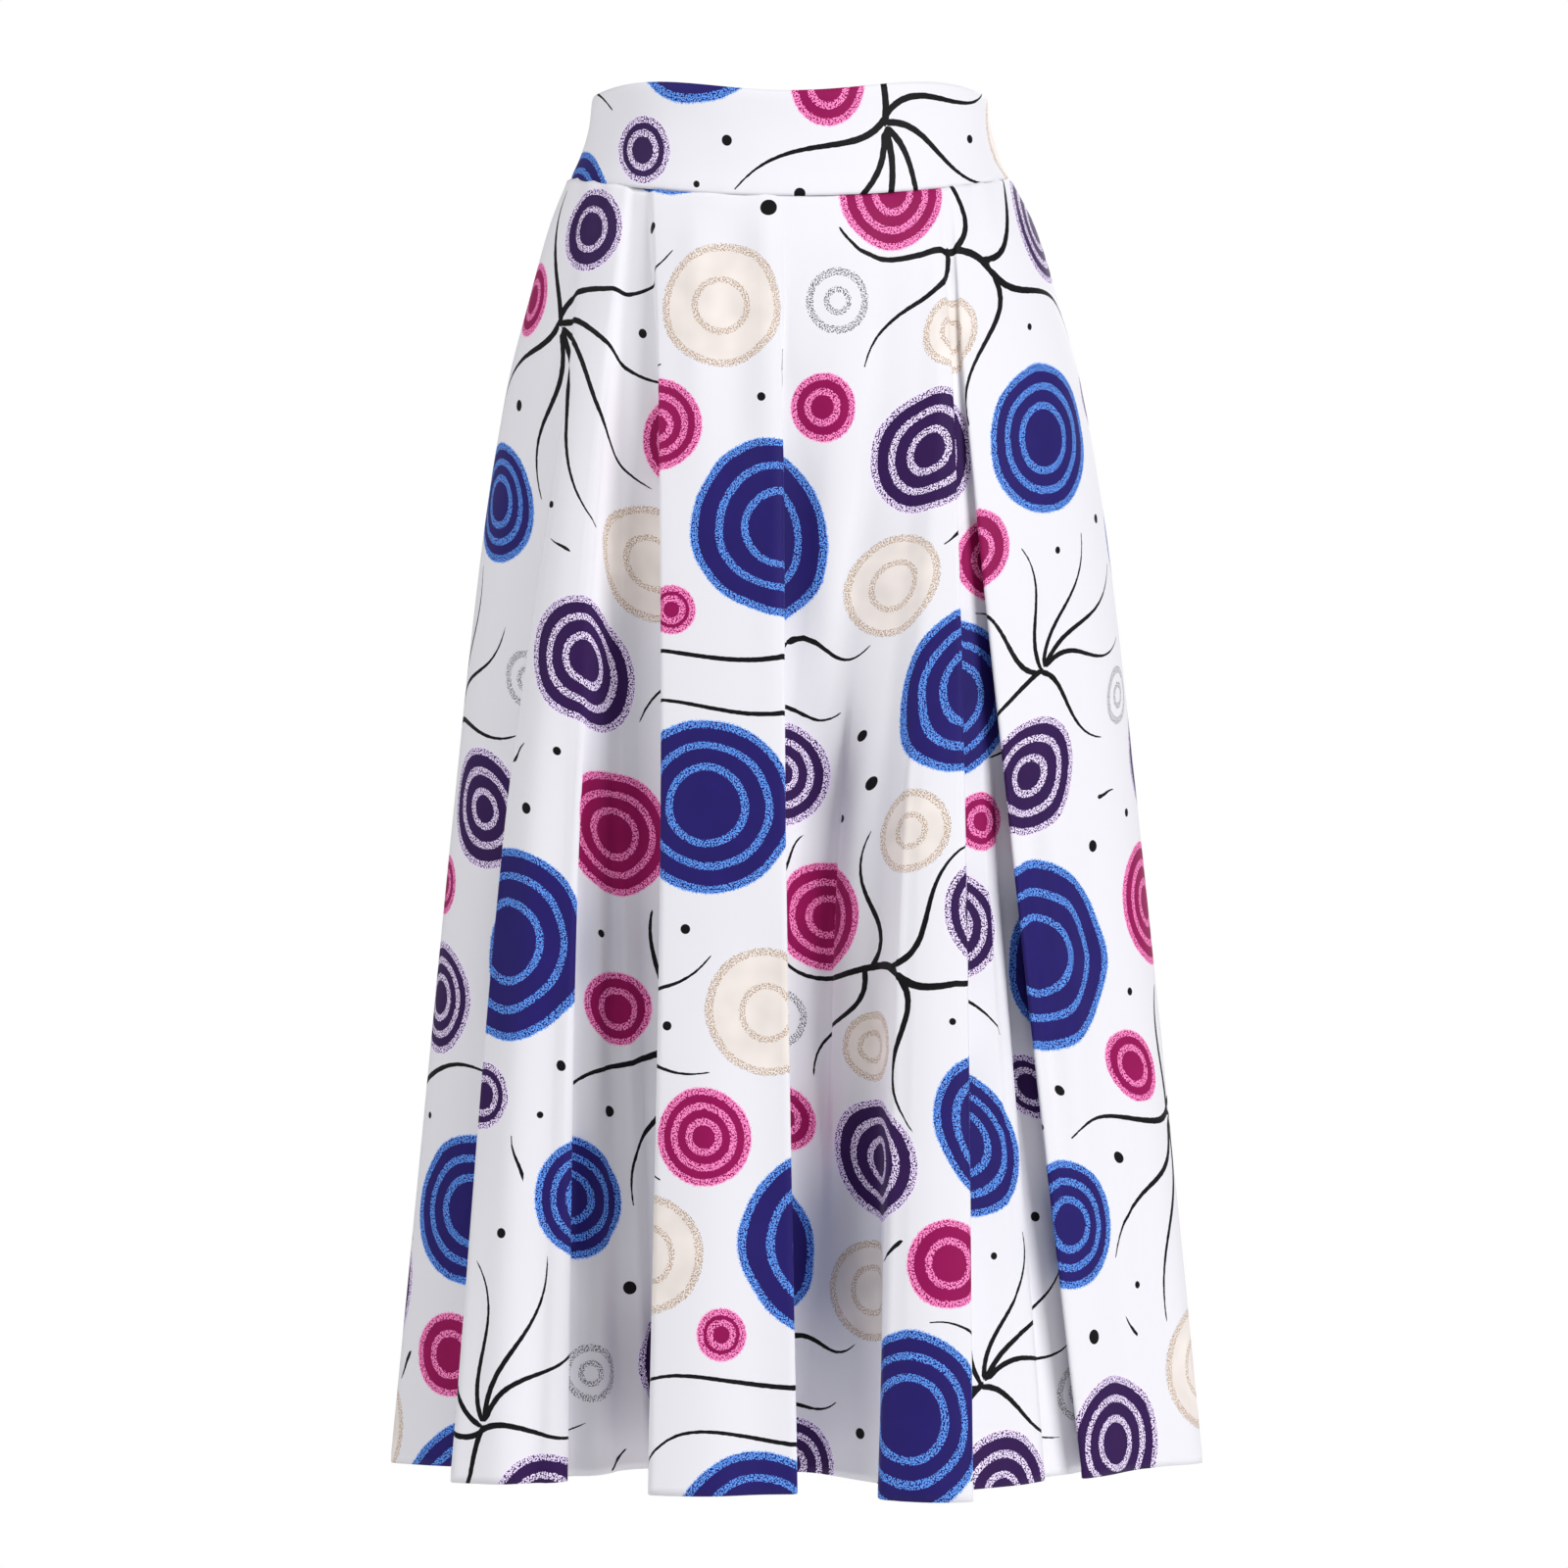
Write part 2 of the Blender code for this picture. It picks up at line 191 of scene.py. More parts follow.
FRONT_CREASES = (
    Crease("centre left edge", 0.36, 0.30, 0.00, 0.24, 9.0, 1.6),
    Crease("centre left edge", 0.66, 0.60, 0.00, 0.26, 13.0, -3.2),
    Crease("centre left edge", 0.90, 0.88, 0.00, 0.45, 9.0, 2.0),
    Crease("centre left edge", 0.45, 0.40, 0.62, 1.00, 30.0, 4.0),
    Crease("centre left edge", 0.78, 0.74, 0.50, 1.00, 20.0, -3.0),
    Crease("left roll outer", 0.45, 0.55, 0.05, 1.00, 26.0, 4.5),
    Crease("left roll outer", 0.88, 0.82, 0.30, 1.00, 18.0, -3.5),
    Crease("left roll inner", 0.45, 0.33, 0.35, 1.00, 13.0, -13.0),
    Crease("left roll inner", 1.00, 1.00, 0.15, 1.00, 14.0, -3.5),
    Crease("left recess", 0.45, 0.50, 0.15, 1.00, 20.0, -9.0),
    Crease("centre right edge", 1.00, 1.00, 0.03, 0.60, 6.0, -4.2),
    Crease("right recess under centre", 0.20, 0.28, 0.03, 0.60, 18.0, -7.0),
    Crease("right recess under centre", 0.62, 0.60, 0.00, 0.40, 14.0, 2.5),
    Crease("right recess under centre", 0.95, 0.95, 0.34, 0.80, 18.0, -15.0),
    Crease("right recess", 0.00, 0.00, 0.34, 0.80, 18.0, -15.0),
    Crease("right roll inner", 0.45, 0.50, 0.35, 1.00, 24.0, 4.5),
    Crease("strip", 0.36, 0.36, 0.40, 1.00, 13.0, -9.0),
    Crease("right panel inner", 0.24, 0.22, 0.36, 0.86, 12.0, -5.5),
    Crease("right panel inner", 0.35, 0.42, 0.20, 0.75, 26.0, 2.5),
    Crease("right panel inner", 0.72, 0.66, 0.45, 1.00, 24.0, -3.5),
)
BACK_CREASES = (
    Crease("centre left edge", 0.30, 0.34, 0.00, 0.35, 11.0, 1.8),
    Crease("centre left edge", 0.62, 0.56, 0.00, 0.30, 13.0, -2.8),
    Crease("centre left edge", 0.50, 0.46, 0.55, 1.00, 30.0, 4.0),
    Crease("left roll outer", 0.48, 0.55, 0.08, 1.00, 26.0, 4.0),
    Crease("left recess", 0.45, 0.50, 0.20, 1.00, 20.0, -3.5),
    Crease("right recess under centre", 0.52, 0.50, 0.20, 1.00, 20.0, -3.5),
    Crease("right roll inner", 0.50, 0.46, 0.10, 1.00, 26.0, 4.2),
    Crease("left panel", 0.50, 0.50, 0.30, 1.00, 24.0, 2.5),
    Crease("right panel under roll", 0.45, 0.50, 0.40, 1.00, 22.0, -3.0),
)


class Branch(NamedTuple):
    """A tapered stroke: four guide points of a smooth curve and its half width at each end, in mm."""

    guides: tuple[tuple[float, float], ...]
    root: float
    tip: float


SPRAY = (
    Branch(((8, 70), (-6, 48), (6, 22), (0, 0)), 0.5, 2.0),
    Branch(((0, 2), (-18, -16), (-50, 10), (-82, -20)), 1.9, 0.35),
    Branch(((-1, -5), (-6, -44), (-46, -30), (-52, -78)), 1.8, 0.35),
    Branch(((0, -4), (8, -44), (-28, -60), (-12, -108)), 1.9, 0.35),
    Branch(((1, -3), (24, -26), (-2, -66), (34, -92)), 1.7, 0.35),
    Branch(((1, 0), (30, -4), (30, -44), (70, -44)), 1.7, 0.35),
    Branch(((0, 3), (22, 24), (50, -16), (84, 14)), 1.8, 0.35),
)
FORK = (
    Branch(((-88, -6), (-58, -34), (-30, 14), (0, 0)), 0.5, 2.1),
    Branch(((0, 0), (28, -14), (44, 30), (88, 6)), 2.0, 0.35),
    Branch(((-6, 2), (24, 16), (-14, 48), (20, 76)), 1.8, 0.35),
    Branch(((-24, 1), (-8, 26), (-56, 30), (-44, 68)), 1.7, 0.35),
    Branch(((2, -1), (30, -16), (-6, -46), (26, -76)), 1.8, 0.35),
    Branch(((-28, 0), (-12, -30), (-60, -28), (-52, -66)), 1.6, 0.35),
)
TENDRILS = (
    Branch(((-96, 4), (-50, 58), (8, -40), (82, 6)), 0.4, 1.8),
    Branch(((82, 6), (104, 20), (108, -16), (132, 0)), 1.8, 0.35),
    Branch(((-86, -30), (-42, 22), (2, -64), (66, -32)), 0.4, 1.6),
    Branch(((66, -32), (84, -24), (92, -46), (112, -34)), 1.6, 0.35),
)
DASH = (Branch(((0, -8), (3, -3), (2, 4), (6, 10)), 1.4, 0.3),)
LONG_DASH = (Branch(((0, -15), (4, -4), (-2, 6), (5, 18)), 1.5, 0.3),)


class TwigPlace(NamedTuple):
    """Where a twig lies in the repeat, in millimetres, with its turn in degrees."""

    twig: tuple[Branch, ...]
    across: float
    down: float
    turn: float
    size: float


TWIG_PLACES = (
    TwigPlace(SPRAY, 118.0, 104.0, 8.0, 1.28),
    TwigPlace(FORK, 446.0, 132.0, -14.0, 1.32),
    TwigPlace(TENDRILS, 236.0, 330.0, 10.0, 1.12),
    TwigPlace(SPRAY, 556.0, 352.0, 152.0, 1.05),
    TwigPlace(DASH, 300.0, 60.0, 20.0, 1.0),
    TwigPlace(LONG_DASH, 340.0, 216.0, -24.0, 1.0),
    TwigPlace(DASH, 20.0, 300.0, -40.0, 1.0),
    TwigPlace(LONG_DASH, 610.0, 40.0, 14.0, 0.9),
    TwigPlace(DASH, 440.0, 420.0, 150.0, 1.1),
    TwigPlace(DASH, 90.0, 424.0, 70.0, 0.9),
)


class Ink(NamedTuple):
    """How one kind of disc is printed.

    Solid is 1 where the disc hides what is under it. Grain is the radius of the specks of light ink in a
    ring, as a share of the distance between them. Inner is the width of the inner rings as a share of the
    outer one's. Pitch is the distance between the rings as a share of the disc's radius, and rings is how
    many a large disc has.
    """

    motif: Motif
    core: str
    ring: str
    solid: float
    grain: float
    inner: float
    pitch: float
    rings: int


INKS = (
    Ink(Motif.BLUE, "#261c6a", "#62a0fa", 1.0, 0.43, 0.90, 0.27, 3),
    Ink(Motif.PURPLE, "#331750", "#f0e0ff", 1.0, 0.46, 0.90, 0.31, 3),
    Ink(Motif.MAGENTA, "#960d56", "#ff8ecb", 1.0, 0.46, 0.90, 0.32, 3),
    Ink(Motif.CREAM, "#f2e9e4", "#a07c54", 1.0, 0.33, 0.80, 0.50, 2),
    Ink(Motif.BLACK_RING, "#f4f2f6", "#2a282e", 0.0, 0.35, 0.80, 0.55, 2),
    Ink(Motif.DOT, "#0c0b0f", "#0c0b0f", 1.0, 1.0, 1.0, 0.40, 1),
)
TWIG_INK = "#0c0b0f"

DISC_RADII = {
    Motif.BLUE: (62.0, 61.0, 58.0, 55.0, 50.0, 41.0),
    Motif.PURPLE: (43.0, 42.0, 39.0, 37.0, 35.0, 28.0, 22.0),
    Motif.MAGENTA: (41.0, 37.0, 32.0, 28.0, 25.0, 22.0, 20.0, 17.0),
    Motif.CREAM: (41.0, 38.0, 34.0, 28.0, 24.0),
    Motif.BLACK_RING: (21.0, 19.0),
    Motif.DOT: (
        *(5.5, 4.6, 4.4, 4.2, 3.8, 3.8, 3.6, 3.4, 3.2, 3.2),
        *(3.0, 3.0, 2.8, 2.6, 2.6, 2.4, 2.4, 2.2, 2.2),
    ),
}


def through(stations: list[float], values: tuple[float, ...], at: float) -> float:
    """Reads a smooth curve that passes through a value at each station.

    Args:
        stations: Where the values are given, in rising or falling order.
        values: One value for each station.
        at: The place to read.

    Returns:
        The value of the curve there.
    """
    last = len(stations) - 1
    slopes = []
    for i in range(last + 1):
        before, after = max(i - 1, 0), min(i + 1, last)
        slopes.append((values[after] - values[before]) / (stations[after] - stations[before]))
    i = 0
    while i < last - 1 and (at - stations[i + 1]) * (stations[last] - stations[0]) > 0:
        i += 1
    span = stations[i + 1] - stations[i]
    t = min(max((at - stations[i]) / span, 0.0), 1.0)
    rise = values[i + 1] - values[i]
    into, out_of = slopes[i] * span, slopes[i + 1] * span
    return values[i] + t * (into + t * (3 * rise - 2 * into - out_of + t * (into + out_of - 2 * rise)))


def ellipse(sections: tuple[Section, ...], level: float, side: Side) -> tuple[float, float, float]:
    """Half width, depth and lean of the filled-out figure at a level, in metres."""
    stations = [section.level for section in sections]
    columns = zip(*(section[1:] for section in sections))
    half_width, front, back, lean = (through(stations, values, level) * MM for values in columns)
    return half_width, front if side is Side.FRONT else back, lean


def smooth_step(low: float, high: float, value: np.ndarray | float) -> np.ndarray | float:
    """Rises smoothly from 0 at low to 1 at high."""
    t = np.clip((value - low) / (high - low), 0.0, 1.0)
    return t * t * (3.0 - 2.0 * t)


def linear_colour(code: str) -> tuple[float, float, float, float]:
    """Turns a colour code such as #a01c5c into linear red, green, blue and alpha."""
    parts = [int(code[i : i + 2], 16) / 255.0 for i in (1, 3, 5)]
    return (*(p / 12.92 if p <= 0.04045 else ((p + 0.055) / 1.055) ** 2.4 for p in parts), 1.0)


# The shader maths


class Link:
    """A node's socket that can be used in an expression, which adds the Math nodes."""

    def __init__(self, graph: "Graph", socket: bpy.types.NodeSocket) -> None:
        """Keeps the socket and the graph that it belongs to."""
        self.graph = graph
        self.socket = socket

    def __add__(self, other: "Link | float") -> "Link":
        """Adds a value."""
        return self.graph.math("ADD", self, other)

    __radd__ = __add__

    def __sub__(self, other: "Link | float") -> "Link":
        """Takes a value away."""
        return self.graph.math("SUBTRACT", self, other)

    def __rsub__(self, other: "Link | float") -> "Link":
        """Takes this away from a value."""
        return self.graph.math("SUBTRACT", other, self)

    def __mul__(self, other: "Link | float") -> "Link":
        """Multiplies by a value."""
        return self.graph.math("MULTIPLY", self, other)

    __rmul__ = __mul__

    def __truediv__(self, other: "Link | float") -> "Link":
        """Divides by a value."""
        return self.graph.math("DIVIDE", self, other)

    def __mod__(self, other: "Link | float") -> "Link":
        """What is left after whole steps of a value."""
        return self.graph.math("FLOORED_MODULO", self, other)

    def __lt__(self, other: "Link | float") -> "Link":
        """1 where this is below a value."""
        return self.graph.math("LESS_THAN", self, other)

    def __gt__(self, other: "Link | float") -> "Link":
        """1 where this is above a value."""
        return self.graph.math("GREATER_THAN", self, other)

    def __abs__(self) -> "Link":
        """The size of this without its sign."""
        return self.graph.math("ABSOLUTE", self)


class Graph:
    """The nodes of one material."""

    def __init__(self, name: str) -> None:
        """Starts a material with only its shader and its output.

        Args:
            name: The material's name.
        """
        self.material = bpy.data.materials.new(name)
        self.material.use_nodes = True
        self.nodes = self.material.node_tree.nodes
        self.links = self.material.node_tree.links
        self.shader = self.nodes["Principled BSDF"]

    def node(self, kind: str, settings: dict, inputs: dict, output: str | int = 0) -> Link:
        """Adds a node.

        Args:
            kind: The node's type.
            settings: Its properties, which are set first, and a ramp's stops.
            inputs: The value or link of each socket, by name or number.
            output: The socket to return.

        Returns:
            The output socket.
        """
        made = self.nodes.new(kind)
        for key, value in settings.items():
            if key == "stops":
                self.set_stops(made, value)
            else:
                setattr(made, key, value)
        for key, value in inputs.items():
            self.feed(made.inputs[key], value)
        return Link(self, made.outputs[output])

    def set_stops(self, ramp: bpy.types.Node, stops: list[tuple[float, tuple]]) -> None:
        """Gives a ramp constant stops, in rising order."""
        ramp.color_ramp.interpolation = "CONSTANT"
        elements = ramp.color_ramp.elements
        while len(elements) > 1:
            elements.remove(elements[-1])
        elements[0].position, elements[0].color = stops[0]
        for position, colour in stops[1:]:
            elements.new(position).color = colour

    def feed(self, socket: bpy.types.NodeSocket, value: "Link | float | tuple") -> None:
        """Links a socket, or sets its value."""
        if isinstance(value, Link):
            self.links.new(value.socket, socket)
        else:
            socket.default_value = value

    def math(self, operation: str, *values: "Link | float") -> Link:
        """Adds a Math node on one to three values."""
        return self.node("ShaderNodeMath", {"operation": operation}, dict(enumerate(values)))

    def mix(self, factor: "Link | float", first: "Link | tuple", second: "Link | tuple") -> Link:
        """Mixes two colours: the second shows where the factor is 1."""
        return self.node("ShaderNodeMix", {"data_type": "RGBA"}, {0: factor, 6: first, 7: second}, 2)

    def split(self, kind: str, value: Link) -> list[Link]:
        """The three numbers of a vector or of a colour."""
        outputs = self.node(kind, {}, {0: value}).socket.node.outputs
        return [Link(self, socket) for socket in list(outputs)[:3]]

    def parts(self, name: str) -> list[Link]:
        """The three numbers of a vector attribute of the mesh."""
        vector = self.node("ShaderNodeAttribute", {"attribute_name": name}, {}, "Vector")
        return self.split("ShaderNodeSeparateXYZ", vector)

    def noise(self, place: Link, scale: float, detail: float = 0.0) -> Link:
        """Smooth noise from 0 to 1 on the flat pattern, with scale in waves a metre."""
        inputs = {"Vector": place, "Scale": scale, "Detail": detail}
        return self.node("ShaderNodeTexNoise", {"noise_dimensions": "2D"}, inputs, 0)

    def specks(self, place: Link, scale: float) -> Link:
        """How far each place is from the middle of the nearest speck, with scale in specks a metre."""
        inputs = {"Vector": place, "Scale": scale}
        return self.node("ShaderNodeTexVoronoi", {"voronoi_dimensions": "2D"}, inputs, "Distance")


# The print


class Disc(NamedTuple):
    """A round motif in the repeat, in millimetres."""

    across: float
    down: float
    radius: float
    motif: Motif
    pitch: float
    limit: float


@dataclass
class PrintRepeat:
    """One repeat of the print, laid out in millimetres on cloth that joins up on all four sides.

    Each disc gets the roomiest of a number of tries, and is then nudged over several rounds. Twig_share is
    how much of a disc's radius keeps clear of the twigs. A small disc has one ring fewer, further apart.
    Ringless is the part of a ring's pitch that stays plain round the core, and far is beyond any motif.
    """

    width: float = 640.0
    height: float = 470.0
    seed: int = 23
    tries: int = 1200
    rounds: int = 70
    nudges: int = 24
    nudge: float = 16.0
    kind_gap: float = 30.0
    dot_gap: float = 6.0
    twig_share: float = 0.80
    stroke_points: int = 20
    tip_taper: float = 1.5
    root_taper: float = 0.7
    pitch_spread: tuple[float, float] = (0.93, 1.07)
    small_disc: float = 30.0
    small_spread: float = 1.4
    ringless: float = 0.4
    far: float = 900.0
    faces_at_once: int = 3000
    discs: list[Disc] = field(default_factory=list)
    paths: np.ndarray = field(default_factory=lambda: np.zeros((0, 0, 2)))
    half_widths: np.ndarray = field(default_factory=lambda: np.zeros((0, 0)))

    def __post_init__(self) -> None:
        """Lays out the twigs, and then the discs and dots in the room between them."""
        self.draw_twigs()
        self.pack_discs()

    def wrapped(self, offset: np.ndarray) -> np.ndarray:
        """The shortest form of an offset on cloth that repeats."""
        size = np.array((self.width, self.height))
        return (offset + size / 2) % size - size / 2

    def draw_twigs(self) -> None:
        """Samples each branch's curve and half width."""
        t = np.linspace(0.0, 1.0, self.stroke_points)
        weights = np.stack([(1 - t) ** 3, 3 * t * (1 - t) ** 2, 3 * t * t * (1 - t), t**3], axis=1)
        paths, widths = [], []
        for place in TWIG_PLACES:
            turn = math.radians(place.turn)
            spin = np.array(((math.cos(turn), -math.sin(turn)), (math.sin(turn), math.cos(turn))))
            for branch in place.twig:
                points = weights @ np.array(branch.guides, float) * place.size
                paths.append(points @ spin.T + (place.across, place.down))
                power = self.tip_taper if branch.root > branch.tip else self.root_taper
                widths.append((branch.root + (branch.tip - branch.root) * t**power) * place.size)
        self.paths, self.half_widths = np.array(paths), np.array(widths)

    def pack_discs(self) -> None:
        """Places the discs from the largest to the smallest, evens out the gaps, and adds the dots."""
        chance = np.random.default_rng(self.seed)
        wanted = [(radius, motif) for motif, radii in DISC_RADII.items() for radius in radii]
        wanted.sort(key=lambda pair: -pair[0])
        dots = [radius for radius, motif in wanted if motif is Motif.DOT]
        for radius, motif in wanted:
            if motif is not Motif.DOT:
                disc = self.new_disc(radius, motif, chance.uniform(*self.pitch_spread))
                self.put(disc, chance.random((self.tries, 2)) * (self.width, self.height), -self.far)
        for turn in range(self.rounds):
            reach = self.nudge * (1.0 - turn / self.rounds)
            for _ in range(len(self.discs)):
                disc = self.discs.pop(0)
                steps = chance.uniform(-reach, reach, (self.nudges, 2))
                steps[0] = 0.0
                self.put(disc, steps + (disc.across, disc.down), -self.far)
        for radius in dots:
            spots = chance.random((self.tries, 2)) * (self.width, self.height)
            self.put(self.new_disc(radius, Motif.DOT, 1.0), spots, self.dot_gap)

    def new_disc(self, radius: float, motif: Motif, spread: float) -> Disc:
        """A disc that is still to be placed, with its rings' pitch and how far in they go."""
        ink = INKS[motif.value]
        fewer = radius < self.small_disc and ink.rings > 2
        pitch = radius * ink.pitch * spread * (self.small_spread if fewer else 1.0)
        limit = 0.0 if motif is Motif.DOT else (ink.rings - fewer - self.ringless) * pitch
        return Disc(0.0, 0.0, radius, motif, pitch, limit)

    def put(self, disc: Disc, spots: np.ndarray, least: float) -> None:
        """Adds a disc at the spot with the most room, if that is more than the least allowed."""
        room = self.room_at(spots, disc.radius, disc.motif)
        best = room.argmax()
        if room[best] > least:
            self.discs.append(disc._replace(across=spots[best, 0], down=spots[best, 1]))

    def room_at(self, spots: np.ndarray, radius: float, motif: Motif) -> np.ndarray:
        """The gap to the nearest motif at each spot.

        Discs of one kind count as closer than they are, and a twig may run a little way under a disc.
        """
        strokes = self.paths.reshape(-1, 2)
        dot = motif is Motif.DOT
        reach = np.linalg.norm(self.wrapped(strokes[None] - spots[:, None]), axis=2).min(axis=1)
        room = reach - (radius if dot else radius * self.twig_share)
        for disc in self.discs:
            apart = np.linalg.norm(self.wrapped(np.array((disc.across, disc.down)) - spots), axis=1)
            same = self.kind_gap if disc.motif is motif and not dot else 0.0
            room = np.minimum(room, apart - disc.radius - radius - same)
        return room

    def nearest_discs(self, corners: np.ndarray, count: int) -> list[tuple[np.ndarray, np.ndarray]]:
        """The discs nearest to each face.

        Args:
            corners: The flat places of each face's four corners, in millimetres.
            count: How many discs to find.

        Returns:
            For each disc found, the offsets and radius at the corners, and its motif, pitch and limit.
        """
        centres = np.array([(disc.across, disc.down) for disc in self.discs])
        radii = np.array([disc.radius for disc in self.discs])
        facts = np.array([(disc.motif.value, disc.pitch, disc.limit) for disc in self.discs])
        middle = corners.mean(axis=1)
        offsets = middle[:, None, :] - centres[None, :, :]
        short = self.wrapped(offsets)
        order = np.argsort(np.linalg.norm(short, axis=2) - radii, axis=1)
        rows = np.arange(len(corners))
        found = []
        for k in range(count):
            pick = order[:, k]
            local = corners - middle[:, None, :] + short[rows, pick][:, None, :]
            radius = np.repeat(radii[pick][:, None, None], 4, axis=1)
            rings = np.repeat(facts[pick][:, None, :], 4, axis=1)
            found.append((np.concatenate([local, radius], axis=2), rings))
        return found

    def nearest_strokes(self, corners: np.ndarray, count: int) -> tuple[np.ndarray, np.ndarray]:
        """The twig strokes nearest to each face.

        Args:
            corners: The flat places of each face's four corners, in millimetres.
            count: How many strokes to find.

        Returns:
            The signed distance to each stroke's line, and its half width there, at each corner.
        """
        sides = np.full((len(corners), 4, count), self.far)
        widths = np.full((len(corners), 4, count), -1.0)
        middle = corners.mean(axis=1)
        for start in range(0, len(corners), self.faces_at_once):
            part = slice(start, start + self.faces_at_once)
            offsets = middle[part, None, None, :] - self.paths[None]
            short = self.wrapped(offsets)
            distance = np.linalg.norm(short, axis=3)
            closest = distance.argmin(axis=2)
            reach = distance.min(axis=2)
            order = np.argsort(reach, axis=1)
            rows = np.arange(len(closest))
            for k in range(count):
                pick = order[:, k]
                point = closest[rows, pick]
                shift = short[rows, pick, point] + self.paths[pick, point] - middle[part]
                side, width = self.beside(corners[part] + shift[:, None, :], pick)
                sides[part, :, k], widths[part, :, k] = side, width
        return sides, widths

    def beside(self, places: np.ndarray, pick: np.ndarray) -> tuple[np.ndarray, np.ndarray]:
        """How far places lie to the side of their strokes, and how wide the strokes are there.

        Args:
            places: Four places for each face, in millimetres.
            pick: The stroke of each face.

        Returns:
            The signed distances and the half widths, which go below zero past a stroke's ends.
        """
        path, width = self.paths[pick], self.half_widths[pick]
        start = path[:, None, :-1]
        along = path[:, None, 1:] - start
        length = np.linalg.norm(along, axis=3)
        offset = places[:, :, None, :] - start
        share = (offset * along).sum(axis=3) / length**2
        held = np.clip(share, 0.0, 1.0)
        apart = np.linalg.norm(offset - held[..., None] * along, axis=3)
        nearest = apart.argmin(axis=2)[:, :, None]

        def at_nearest(values: np.ndarray) -> np.ndarray:
            """Reads the values of the nearest piece of the line."""
            return np.take_along_axis(values, nearest, axis=2)[:, :, 0]

        cross = along[..., 0] * offset[..., 1] - along[..., 1] * offset[..., 0]
        beyond = np.abs(share - held) * length
        wide = width[:, None, :-1] + (width[:, None, 1:] - width[:, None, :-1]) * held
        return at_nearest(cross / length), at_nearest(np.broadcast_to(wide, share.shape) - beyond)

    def mark(self, mesh: bpy.types.Mesh, shift: tuple[float, float]) -> None:
        """Writes on a mesh, at each face's corners, where the nearest motifs lie.

        Args:
            mesh: A mesh of quads with its flat pattern as a UV map in metres.
            shift: Where the pattern's own origin lies in the repeat, in millimetres.
        """
        flat = np.zeros(len(mesh.loops) * 2, np.float32)
        mesh.uv_layers[PATTERN].data.foreach_get("uv", flat)
        corners = flat.reshape(-1, 4, 2).astype(float) / MM + shift
        discs = self.nearest_discs(corners, 2)
        sides, widths = self.nearest_strokes(corners, 3)
        values = {
            "near_disc": discs[0][0],
            "near_rings": discs[0][1],
            "next_disc": discs[1][0],
            "next_rings": discs[1][1],
            "twig_sides": sides,
            "twig_widths": widths,
        }
        for name, value in values.items():
            attribute = mesh.attributes.new(name, "FLOAT_VECTOR", "CORNER")
            attribute.data.foreach_set("vector", value.astype(np.float32).ravel())


# The finishes


